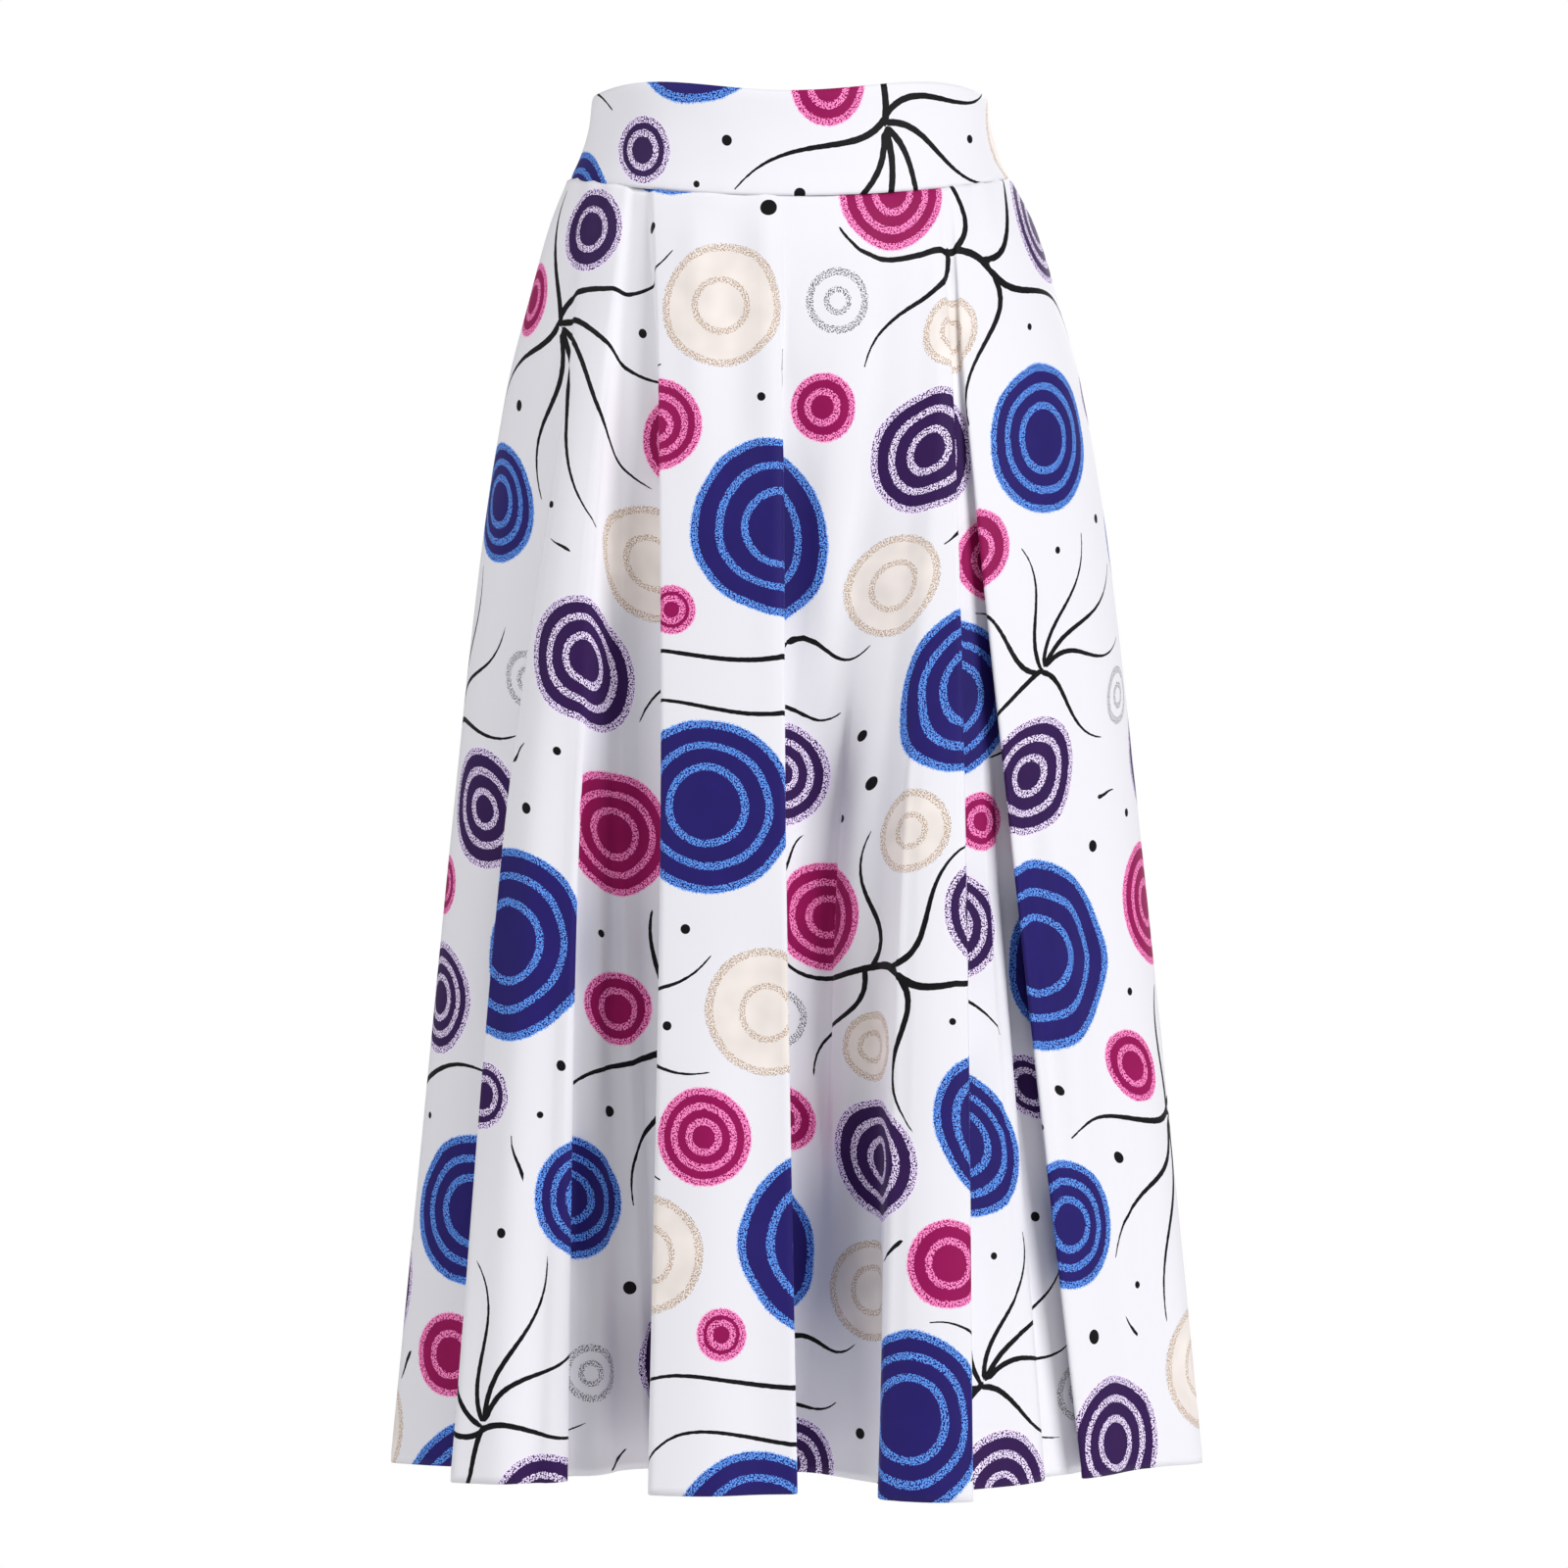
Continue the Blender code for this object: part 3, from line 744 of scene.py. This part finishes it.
@dataclass(frozen=True)
class PrintedCloth:
    """Smooth firm polyester, white, with the print on one side.

    Scales are waves or specks a metre. Wobble, by which a disc is out of round, and ring_growth are shares
    of its radius. Ring_width, fray, rim and waver are in millimetres: how wide a small disc's outer ring
    is, how rough the edges of the discs are, how far in from a disc's edge its dark ink starts, and how
    unsteady a stroke is where it is wider than fine_stroke. A disc whose rings go less deep than
    no_rings is a plain dot.
    """

    name: str
    ground: str = "#e4e3e9"
    strength: float = 1.0
    roughness: float = 0.60
    roughness_spread: float = 0.10
    sheen: float = 0.05
    sheen_roughness: float = 0.5
    specular: float = 0.12
    weave_scale: float = 2400.0
    weave_bump: float = 0.12
    weave_height: float = 0.0002
    speck_scale: float = 940.0
    wobble_scale: float = 17.0
    wobble: float = 0.13
    fray: float = 1.3
    fray_in_rings: float = 0.7
    ring_width: float = 4.4
    ring_growth: float = 0.02
    rim: float = 0.8
    no_rings: float = 0.1
    stain_scale: float = 48.0
    stain: float = 0.22
    waver_scale: float = 260.0
    waver: float = 0.5
    fine_stroke: float = 0.3

    def build(self) -> bpy.types.Material:
        """Builds the material.

        Returns:
            The material, which reads the flat pattern and the motif attributes.
        """
        graph = Graph(self.name)
        place = graph.node("ShaderNodeUVMap", {"uv_map": PATTERN}, {}, "UV")
        ground = linear_colour(self.ground)
        colour = graph.mix(self.twig_mask(graph, place), ground, linear_colour(TWIG_INK))
        for near in ("next", "near"):
            colour = self.print_disc(graph, place, near, colour)
        if self.strength < 1.0:
            colour = graph.mix(self.strength, ground, colour)
        weave = graph.noise(place, self.weave_scale, 1.0)
        bump = {"Strength": self.weave_bump, "Distance": self.weave_height, "Height": weave}
        finish = {
            "Base Color": colour,
            "Roughness": weave * self.roughness_spread + (self.roughness - self.roughness_spread / 2),
            "Sheen Weight": self.sheen,
            "Sheen Roughness": self.sheen_roughness,
            "Specular IOR Level": self.specular,
            "Normal": graph.node("ShaderNodeBump", {}, bump, "Normal"),
        }
        for socket, value in finish.items():
            graph.feed(graph.shader.inputs[socket], value)
        return graph.material

    def twig_mask(self, graph: Graph, place: Link) -> Link:
        """1 on a twig's strokes, whose edges waver a little."""
        waver = graph.noise(place, self.waver_scale, 1.0) * self.waver - self.waver / 2
        sides, widths = graph.parts("twig_sides"), graph.parts("twig_widths")
        masks = [
            abs(side) < width + waver * (width > self.fine_stroke) for side, width in zip(sides, widths)
        ]
        return graph.math("MAXIMUM", graph.math("MAXIMUM", masks[0], masks[1]), masks[2])

    def ramp(self, graph: Graph, kind: Link, colours: list[tuple]) -> Link:
        """A colour for each kind of disc."""
        count = len(colours)
        stops = [(i / count, colour) for i, colour in enumerate(colours)]
        return graph.node("ShaderNodeValToRGB", {"stops": stops}, {0: (kind + 0.5) / count})

    def print_disc(self, graph: Graph, place: Link, near: str, under: Link) -> Link:
        """Prints one of a face's two discs over the colour below it.

        Args:
            graph: The material's nodes.
            place: The flat pattern.
            near: The disc's name in the mesh's attributes.
            under: The colour below.

        Returns:
            The colour with the disc on it.
        """
        across, down, radius = graph.parts(near + "_disc")
        kind, pitch, limit = graph.parts(near + "_rings")
        ringed = limit > self.no_rings
        wobble = (graph.noise(place, self.wobble_scale, 1.0) - 0.5) * radius * self.wobble
        fray = (graph.noise(place, self.speck_scale, 0.0) - 0.5) * self.fray * ringed
        depth = radius - graph.math("SQRT", across * across + down * down) + wobble
        inside = depth + fray > 0.0
        numbers = self.ramp(graph, kind, [(ink.solid, ink.grain, ink.inner, 1.0) for ink in INKS])
        solid, grain, inner = graph.split("ShaderNodeSeparateColor", numbers)
        frayed = depth + fray * self.fray_in_rings
        outer_width = radius * self.ring_growth + self.ring_width
        width = outer_width * (inner + (1.0 - inner) * (frayed < pitch))
        ring = (frayed % pitch < width) * (depth < limit)
        specks = ring * (graph.specks(place, self.speck_scale) < grain)
        dark = self.ramp(graph, kind, [linear_colour(ink.core) for ink in INKS])
        dark = graph.mix(graph.noise(place, self.stain_scale, 1.0) * self.stain, dark, BLACK)
        light = self.ramp(graph, kind, [linear_colour(ink.ring) for ink in INKS])
        shows = graph.math("MAXIMUM", solid * (depth > self.rim * ringed), specks)
        return graph.mix(inside * shows, under, graph.mix(specks, dark, light))


# The pieces


def push_out(grid: np.ndarray, amount: np.ndarray, facing: int) -> np.ndarray:
    """Moves each point of a grid along the surface's outward normal.

    Args:
        grid: Rows of points, top to bottom and from -X to +X.
        amount: How far each point moves, in metres.
        facing: -1 for the front and 1 for the back.

    Returns:
        The moved grid.
    """
    down = np.gradient(grid, axis=0)
    across = np.gradient(grid, axis=1)
    normal = np.cross(down, across) * -facing
    normal /= np.maximum(np.linalg.norm(normal, axis=2, keepdims=True), 1e-12)
    return grid + normal * amount[:, :, None]


def sheet_mesh(name: str, grid: np.ndarray, flat: np.ndarray, facing: int) -> bpy.types.Object:
    """Makes an open sheet of quads whose faces point away from the body.

    Args:
        name: The piece's name.
        grid: Rows of points, top to bottom and from -X to +X.
        flat: The flat pattern at each point, in metres.
        facing: -1 for the front and 1 for the back.

    Returns:
        The new object.
    """
    rows, columns = grid.shape[:2]
    index = np.arange(rows * columns).reshape(rows, columns)
    quads = np.stack([index[:-1, :-1], index[1:, :-1], index[1:, 1:], index[:-1, 1:]], axis=2).reshape(-1, 4)
    if facing > 0:
        quads = quads[:, ::-1]
    mesh = bpy.data.meshes.new(name)
    mesh.from_pydata(grid.reshape(-1, 3).tolist(), [], quads.tolist())
    pattern = mesh.uv_layers.new(name=PATTERN)
    pattern.data.foreach_set("uv", flat.reshape(-1, 2)[quads.ravel()].astype(np.float32).ravel())
    mesh.shade_smooth()
    piece = bpy.data.objects.new(name, mesh)
    bpy.context.scene.collection.objects.link(piece)
    return piece


def apply_modifier(piece: bpy.types.Object, kind: str, settings: dict) -> None:
    """Adds a modifier to a piece and applies it.

    Args:
        piece: The piece.
        kind: The modifier's type.
        settings: Its properties.
    """
    bpy.ops.object.select_all(action="DESELECT")
    piece.select_set(True)
    bpy.context.view_layer.objects.active = piece
    modifier = piece.modifiers.new(kind.lower(), kind)
    for key, value in settings.items():
        setattr(modifier, key, value)
    bpy.ops.object.modifier_apply(modifier=modifier.name)


def row_lengths(grid: np.ndarray) -> np.ndarray:
    """The distance along each row of a grid from its middle column, in metres."""
    steps = np.linalg.norm(np.diff(grid, axis=1), axis=2)
    along = np.concatenate([np.zeros((len(grid), 1)), np.cumsum(steps, axis=1)], axis=1)
    return along - along[:, [grid.shape[1] // 2]]


@dataclass
class CutPiece:
    """What every cut piece of the skirt has.

    Print_shift is where the flat pattern's own origin lies in the repeat, in millimetres, and dip is how
    far the waist seam sinks from the side to the middle.
    """

    name: str
    node: str
    side: Side
    slot: str
    print_shift: tuple[float, float]
    wall: float
    dip: float = 11.0 * MM
    seam_height: float = -63.5 * MM
    seam_gap: float = 0.3 * MM

    def grid(self) -> np.ndarray:
        """Rows of points, top to bottom and from -X to +X, in metres."""
        raise NotImplementedError

    def flat_pattern(self, grid: np.ndarray) -> np.ndarray:
        """The flat place of each point, in metres."""
        raise NotImplementedError

    def waist_seam(self, angle: np.ndarray) -> np.ndarray:
        """The height of the waist seam at each angle from the middle."""
        return self.seam_height - self.dip * np.cos(angle) ** 2

    def build(
        self,
        repeat: PrintRepeat,
        finishes: tuple[bpy.types.Material, bpy.types.Material],
        hangs_from: list[str],
    ) -> bpy.types.Object:
        """Builds the sheet with its wall and its print, and gives it its place in the frame.

        Args:
            repeat: The print.
            finishes: The materials of the printed side and of the reverse.
            hangs_from: The pieces that it hangs from; not used.

        Returns:
            The finished piece.
        """
        grid = self.grid()
        piece = sheet_mesh(self.name, grid, self.flat_pattern(grid), self.side.value)
        for finish in finishes:
            piece.data.materials.append(finish)
        wall = {"thickness": self.wall, "offset": -1.0, "material_offset": 1}
        apply_modifier(piece, "SOLIDIFY", wall)
        repeat.mark(piece.data, self.print_shift)
        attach(piece, BODY)
        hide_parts(self.node)
        log.info("%s: %d faces", piece.name, len(piece.data.polygons))
        return piece


@dataclass
class Waistband(CutPiece):
    """One half of the wide waistband.

    Each dent is its pace across, its slant down, its phase and its height in millimetres.
    """

    top_mean: float = -3.4 * MM
    top_side_dip: float = 1.5 * MM
    top_wave: float = 3.6 * MM
    rows: int = 30
    columns: int = 170
    edge_turn: float = 1.1 * MM
    edge_fade: float = 34.0
    dents: tuple[tuple[float, ...], ...] = ((9.0, 2.2, 1.0, 0.35), (21.0, -3.4, 0.0, 0.18))
    pucker: Pucker = Pucker(95.0, 17.0, 3.0, 0.14, 9.0)

    def grid(self) -> np.ndarray:
        """Rows of points from the top edge to the waist seam, with both edges turned a little inwards."""
        facing = self.side.value
        angle = math.pi * (np.arange(self.columns + 1) / self.columns - 0.5)
        top = self.top_mean + self.top_side_dip * np.cos(2 * angle) - self.top_wave * np.cos(4 * angle)
        bottom = self.waist_seam(angle)
        rows = []
        for row in range(self.rows + 1):
            down = row / self.rows
            half_width, depth, _ = ellipse(BAND_SECTIONS, down, self.side)
            z = top * (1.0 - down) + bottom * down
            turned = sum(self.edge_turn * math.exp(-away * self.edge_fade) for away in (down, 1.0 - down))
            x = (half_width - turned) * np.sin(angle)
            y = facing * (self.seam_gap / 2 + (depth - turned) * np.cos(angle))
            rows.append(np.stack([x, y, z], axis=1))
        grid = np.array(rows)
        return push_out(grid, self.unevenness(grid), facing)

    def unevenness(self, grid: np.ndarray) -> np.ndarray:
        """The slight dents of a fitted band, which fade out at its side seams."""
        down = np.linspace(0.0, 1.0, grid.shape[0])[:, None]
        across = np.linspace(-1.0, 1.0, grid.shape[1])[None, :]
        swell = sum(
            np.sin(across * pace + down * slant + self.side.value * phase) * height
            for pace, slant, phase, height in self.dents
        )
        pucker = self.pucker.at(across, 1.0 - down)
        return (swell * np.sin(math.pi * down) + pucker) * (1.0 - across**4) * MM

    def flat_pattern(self, grid: np.ndarray) -> np.ndarray:
        """Unrolls the band, with each row laid straight."""
        steps = np.linalg.norm(np.diff(grid, axis=0), axis=2).mean(axis=1)
        down = np.concatenate([[0.0], np.cumsum(steps)])
        flat = np.stack([row_lengths(grid), np.broadcast_to(-down[:, None], grid.shape[:2])], axis=2)
        flat[..., 0] *= -self.side.value
        return flat


@dataclass
class SkirtPanel(CutPiece):
    """The front or the back of the skirt, folded into its pleats.

    The hem rises and the waist edge drops by a share of each fold's set-back. Top_turn and side_turn are
    the seam allowances: how far in and how far up or apart each of their rows lies, in millimetres. The
    cloth's slight waves are drawn between the least and the most of their pace, slant, phase and height.
    """

    folds: tuple[Fold, ...] = ()
    creases: tuple[Crease, ...] = ()
    hem_height: float = -924.0 * MM
    hem_rise: float = 0.05
    top_drop: float = 1.0
    edge_drop: float = 1.2 * MM
    least_depth: float = 0.9 * MM
    side_margin: float = 14.0 * MM
    turn_points: int = 7
    share_of_panel: float = 0.45
    panel_step: float = 7.0 * MM
    levels: int = 142
    rows_to_waist: int = 3
    fade_in: float = 0.25
    fade_out: float = 0.6
    pucker_seed: int = 5
    pucker: Pucker = Pucker(190.0, 43.0, 2.2, 0.45, 30.0)
    waves: int = 7
    wave_pace: tuple[float, float] = (9.0, 30.0)
    wave_slant: tuple[float, float] = (-5.0, 5.0)
    wave_phase: tuple[float, float] = (0.0, 6.3)
    wave_height: tuple[float, float] = (0.12, 0.32)
    seam_zone: float = 0.04
    share_at_seam: float = 0.15
    still_columns: float = 9.0
    top_turn: tuple[tuple[float, float], ...] = ((6.8, 7.0), (4.6, 3.0), (3.4, 1.2), (1.9, 0.1), (0.6, -0.4))
    side_turn: tuple[tuple[float, float], ...] = ((0.15, 0.4), (0.7, 0.1), (2.0, 0.0), (8.0, 0.0))

    def corners(self, height: float) -> list[tuple[float, float, float]]:
        """Each fold line at a height: its distance round the ellipse, its set-back and its turn."""
        half_width, _, lean = ellipse(SKIRT_SECTIONS, height / MM, self.side)
        stations = [station * MM for station in FOLD_HEIGHTS]
        share = min(max((height - stations[0]) / (stations[-1] - stations[0]), 0.0), 1.0)
        side = half_width * math.pi / 2
        found = [(-side, 0.0, 0.0), (self.side_margin - side, 0.0, self.side_margin)]
        for fold in self.folds:
            across = through(stations, fold.across, height) * MM - lean
            set_back = through(stations, fold.set_back, height) * MM
            turn = (fold.turn[0] + (fold.turn[1] - fold.turn[0]) * share) * MM
            found.append((half_width * math.asin(across / half_width), set_back, turn))
        return found + [(side - self.side_margin, 0.0, self.side_margin), (side, 0.0, 0.0)]

    def panel_names(self) -> list[str]:
        """The name of each panel, which is that of the fold line on its -X side."""
        return ["side", "left side", *(fold.name for fold in self.folds), "right side"]

    def steps(self) -> list[int]:
        """How many parts each panel is cut into, from its width at the hem."""
        found = self.corners(self.hem_height)
        widths = [math.dist(a[:2], b[:2]) for a, b in zip(found, found[1:])]
        return [max(2, round(width / self.panel_step)) for width in widths]

    def fold_row(self, height: float, steps: list[int]) -> tuple[np.ndarray, np.ndarray, np.ndarray]:
        """The folded line at a height.

        Args:
            height: The height, in metres.
            steps: How many parts each panel has.

        Returns:
            Distance round and set-back of each column, its panel, and its share of the way across it.
        """
        found = self.corners(height)
        line, panels, shares = [found[0][:2]], [0], [0.0]
        for i in range(1, len(found)):
            before, here = found[i - 1], found[i]
            width = math.dist(before[:2], here[:2])
            leave = min(before[2], width * self.share_of_panel) / width
            arrive = 1.0 - min(here[2], width * self.share_of_panel) / width
            for step in range(1, steps[i - 1] + 1):
                share = leave + (arrive - leave) * step / steps[i - 1]
                line.append(tuple(b + (h - b) * share for b, h in zip(before[:2], here[:2])))
                panels.append(i - 1)
                shares.append(share)
            if i == len(found) - 1:
                break
            after = found[i + 1]
            width = math.dist(here[:2], after[:2])
            share = min(here[2], width * self.share_of_panel) / width
            guides = (line[-1], here[:2], tuple(h + (a - h) * share for h, a in zip(here[:2], after[:2])))
            for point in range(1, self.turn_points):
                t = point / (self.turn_points - 1)
                weights = ((1 - t) ** 2, 2 * t * (1 - t), t**2)
                line.append(tuple(sum(w * g[axis] for w, g in zip(weights, guides)) for axis in (0, 1)))
                panels.append(i - 1 if t < 0.5 else i)
                shares.append(1.0 if t < 0.5 else 0.0)
        return np.array(line), np.array(panels), np.array(shares)

    def grid(self) -> np.ndarray:
        """Rows of points from the top of the seam allowance to the hem, with the side allowances."""
        steps = self.steps()
        facing = self.side.value
        names = self.panel_names()
        level = self.seam_height - self.dip / 2
        shares = np.arange(self.levels + 1) / self.levels
        rows, amounts = [], []
        for share in shares:
            height = level + (self.hem_height - level) * share
            half_width, depth, lean = ellipse(SKIRT_SECTIONS, height / MM, self.side)
            line, panels, across = self.fold_row(height, steps)
            angle = line[:, 0] / half_width
            set_back = line[:, 1]
            edge = self.waist_seam(angle) - self.seam_gap - self.edge_drop
            start = edge - self.top_drop * np.abs(set_back)
            end = self.hem_height + self.hem_rise * np.maximum(set_back, 0.0)
            x = lean + half_width * np.sin(angle)
            out = np.maximum(depth * np.cos(angle) - set_back, self.least_depth)
            y = facing * (self.seam_gap / 2 + out)
            rows.append(np.stack([x, y, start * (1.0 - share) + end * share], axis=1))
            amounts.append(self.crease_row(share, height, names, panels, across))
        folded = np.array(rows)
        grid = push_out(folded, self.soft_ends(np.array(amounts), row_lengths(folded)), facing)
        return self.with_sides(self.with_top(grid))

    def crease_row(
        self, share: float, height: float, names: list[str], panels: np.ndarray, across: np.ndarray
    ) -> np.ndarray:
        """How far the creases push the cloth out at one level.

        Args:
            share: The share of the way down the skirt.
            height: The level's height, in metres.
            names: The panels' names.
            panels: The panel of each column.
            across: Each column's share of the way across its panel.

        Returns:
            How far each column moves, in metres.
        """
        found = self.corners(height)
        amount = np.zeros(len(panels))
        for crease in self.creases:
            panel = names.index(crease.panel)
            if not crease.top <= share <= crease.bottom:
                continue
            along = (share - crease.top) / (crease.bottom - crease.top)
            fade_in = smooth_step(0.0, self.fade_in, along) if crease.top > 0.0 else 1.0
            fade_out = 1.0 - smooth_step(self.fade_out, 1.0, along) if crease.bottom < 1.0 else 1.0
            middle = crease.across_top + (crease.across_bottom - crease.across_top) * along
            width = math.dist(found[panel][:2], found[panel + 1][:2])
            bell = np.exp(-(((across - middle) * width / (crease.width * MM)) ** 2))
            amount += (panels == panel) * bell * fade_in * fade_out * crease.height * MM
        return amount

    def soft_ends(self, amounts: np.ndarray, along: np.ndarray) -> np.ndarray:
        """The creases with the seam's pucker and the cloth's slight waves, fading out at the sides.

        Args:
            amounts: How far the creases push each point out, in metres.
            along: The distance of each point along its row, in metres.

        Returns:
            How far each point moves, in metres.
        """
        rows, columns = amounts.shape
        down = np.linspace(0.0, 1.0, rows)[:, None]
        column = np.arange(columns)[None, :]
        chance = np.random.default_rng(self.pucker_seed)
        waves = np.zeros(amounts.shape)
        drawn = (self.wave_pace, self.wave_slant, self.wave_phase, self.wave_height)
        for _ in range(self.waves):
            pace, slant, phase, height = (chance.uniform(*span) for span in drawn)
            waves += np.sin(along * pace + down * slant + phase) * height
        pucker = self.pucker.at(along[:1], down)
        edge = np.minimum(column, columns - 1 - column)
        window = smooth_step(0.0, self.still_columns, edge.astype(float))
        at_seam = smooth_step(0.0, self.seam_zone, down) * (1.0 - self.share_at_seam) + self.share_at_seam
        return (amounts * at_seam + (waves * at_seam + pucker) * MM) * window

    def with_top(self, grid: np.ndarray) -> np.ndarray:
        """Adds the seam allowance, which turns inwards and up behind the band."""
        top = grid[0]
        inward = -np.stack([top[:, 0], top[:, 1], np.zeros(len(top))], axis=1)
        inward /= np.linalg.norm(inward, axis=1, keepdims=True)
        rows = []
        for inset, rise in self.top_turn:
            rows.append(top + inward * inset * MM + (0.0, 0.0, rise * MM + self.edge_drop))
        return np.concatenate([np.array(rows), grid])

    def with_sides(self, grid: np.ndarray) -> np.ndarray:
        """Adds the side seam allowances, which turn inwards and lie against the other half's."""
        facing = self.side.value
        left, right = [], []
        for inset, apart in self.side_turn:
            y = facing * (self.seam_gap / 2 + apart * MM)
            for edge, sign, found in ((grid[:, 0], 1.0, left), (grid[:, -1], -1.0, right)):
                turned = edge.copy()
                turned[:, 0] += sign * inset * MM
                turned[:, 1] = y
                found.append(turned)
        return np.concatenate([np.stack(left[::-1], 1), grid, np.stack(right, 1)], axis=1)

    def flat_pattern(self, grid: np.ndarray) -> np.ndarray:
        """Unrolls the grid onto the flared shape that it was cut to.

        Args:
            grid: Rows of points, top to bottom.

        Returns:
            The flat place of each point, in metres, with the hem below the waist.
        """
        middle = grid.shape[1] // 2
        steps = np.linalg.norm(np.diff(grid[:, middle], axis=0), axis=1)
        down = np.concatenate([[0.0], np.cumsum(steps)])
        along = row_lengths(grid)
        width = along[:, -1] - along[:, 0]
        waist = len(self.top_turn) + self.rows_to_waist
        flare = (width[-1] - width[waist]) / (down[-1] - down[waist])
        radius = (width[waist] / flare + down - down[waist])[:, None]
        angle = along / radius
        flat = np.stack([radius * np.sin(angle), radius[0] - radius * np.cos(angle)], axis=2)
        flat[..., 0] *= -self.side.value
        log.info("%s: %.3f m wide at the waist and %.3f m at the hem", self.name, width[waist], width[-1])
        return flat


# The studio


class Lamp(NamedTuple):
    """A square area light: its place and the length of its side in metres, and its power in watts."""

    name: str
    place: tuple[float, float, float]
    size: float
    power: float


@dataclass
class Studio:
    """A pale floor, soft light and the camera at the photo's viewing angle."""

    floor_height: float = -1.9
    floor_size: float = 4.0
    floor_colour: tuple[float, ...] = (0.96, 0.96, 0.96, 1.0)
    floor_roughness: float = 0.9
    floor_glow: float = 0.35
    eye: tuple[float, float, float] = (-0.0039, -5.5, -0.08)
    aim: tuple[float, float, float] = (-0.0039, 0.0, -0.4674)
    lens: float = 189.0
    sensor: float = 36.0
    sky_seen: float = 1.0
    sky_light: float = 0.24
    lamps: tuple[Lamp, ...] = (
        Lamp("key", (3.1, -3.05, 1.5), 1.9, 194.0),
        Lamp("fill", (-2.2, -1.1, 1.2), 1.8, 48.0),
        Lamp("back", (1.2, 3.9, 1.2), 2.6, 90.0),
    )

    def build(self) -> None:
        """Builds the floor, the lights and the camera."""
        self.floor()
        for lamp in self.lamps:
            self.light(lamp)
        self.camera()
        self.surroundings()

    def floor(self) -> None:
        """Lays the floor."""
        bpy.ops.object.select_all(action="DESELECT")
        bpy.ops.mesh.primitive_plane_add(size=self.floor_size, location=(0.0, 0.0, self.floor_height))
        floor = bpy.context.active_object
        floor.name = "studio_floor"
        graph = Graph("pale_floor")
        finish = {
            "Base Color": self.floor_colour,
            "Emission Color": WHITE,
            "Emission Strength": self.floor_glow,
            "Roughness": self.floor_roughness,
        }
        for socket, value in finish.items():
            graph.feed(graph.shader.inputs[socket], value)
        floor.data.materials.append(graph.material)

    def aimed(self, name: str, data: bpy.types.ID, place: tuple[float, float, float]) -> bpy.types.Object:
        """Puts a light or a camera at a place, facing the middle of the skirt."""
        made = bpy.data.objects.new(name, data)
        made.location = place
        made.rotation_euler = (Vector(self.aim) - Vector(place)).to_track_quat("-Z", "Y").to_euler()
        bpy.context.scene.collection.objects.link(made)
        return made

    def light(self, lamp: Lamp) -> None:
        """Hangs a light."""
        data = bpy.data.lights.new(lamp.name, "AREA")
        data.size = lamp.size
        data.energy = lamp.power
        self.aimed(lamp.name, data, lamp.place)

    def camera(self) -> None:
        """Sets up the camera."""
        data = bpy.data.cameras.new("camera")
        data.lens = self.lens
        data.sensor_width = self.sensor
        bpy.context.scene.camera = self.aimed("camera", data, self.eye)

    def surroundings(self) -> None:
        """Adds the plain white surround, which gives a softer light than it shows."""
        world = bpy.data.worlds.new("white_surround")
        world.use_nodes = True
        nodes, links = world.node_tree.nodes, world.node_tree.links
        background = nodes["Background"]
        background.inputs["Color"].default_value = WHITE
        seen = nodes.new("ShaderNodeLightPath")
        strength = nodes.new("ShaderNodeMix")
        strength.inputs[2].default_value = self.sky_light
        strength.inputs[3].default_value = self.sky_seen
        links.new(seen.outputs["Is Camera Ray"], strength.inputs[0])
        links.new(strength.outputs[0], background.inputs["Strength"])
        bpy.context.scene.world = world
        bpy.context.scene.view_settings.view_transform = "Standard"


def main() -> None:
    """Builds the print, the finishes, the four cut pieces and the studio, in that order."""
    logging.basicConfig(level=logging.INFO, format="%(name)s: %(message)s")
    repeat = PrintRepeat()
    log.info("print: %d discs and dots, %d strokes", len(repeat.discs), len(repeat.paths))
    finishes = (
        PrintedCloth("printed_cloth").build(),
        PrintedCloth("reverse_of_cloth", ground="#dddce2", strength=0.10, roughness=0.62).build(),
    )
    bands = (
        Waistband("waistband_front_cloth", "waistband_front", Side.FRONT, "band_cloth", (54.0, 128.0),
                  1.9 * MM),
        Waistband("waistband_back_cloth", "waistband_back", Side.BACK, "band_cloth", (520.0, 40.0),
                  1.9 * MM, dip=3.0 * MM, top_mean=-7.5 * MM, top_side_dip=-1.5 * MM, top_wave=3.0 * MM),
    )
    skirts = (
        SkirtPanel("skirt_front_cloth", "skirt_front", Side.FRONT, "skirt_cloth", (300.0, 180.0),
                   0.9 * MM, folds=FRONT_FOLDS, creases=FRONT_CREASES),
        SkirtPanel("skirt_back_cloth", "skirt_back", Side.BACK, "skirt_cloth", (90.0, 400.0),
                   0.9 * MM, folds=BACK_FOLDS, creases=BACK_CREASES, dip=3.0 * MM, pucker_seed=8),
    )
    for band in bands:
        band.build(repeat, finishes, [])
    for skirt, band in zip(skirts, bands):
        skirt.build(repeat, finishes, [band.name])
    Studio().build()


if __name__ == "__main__":
    main()
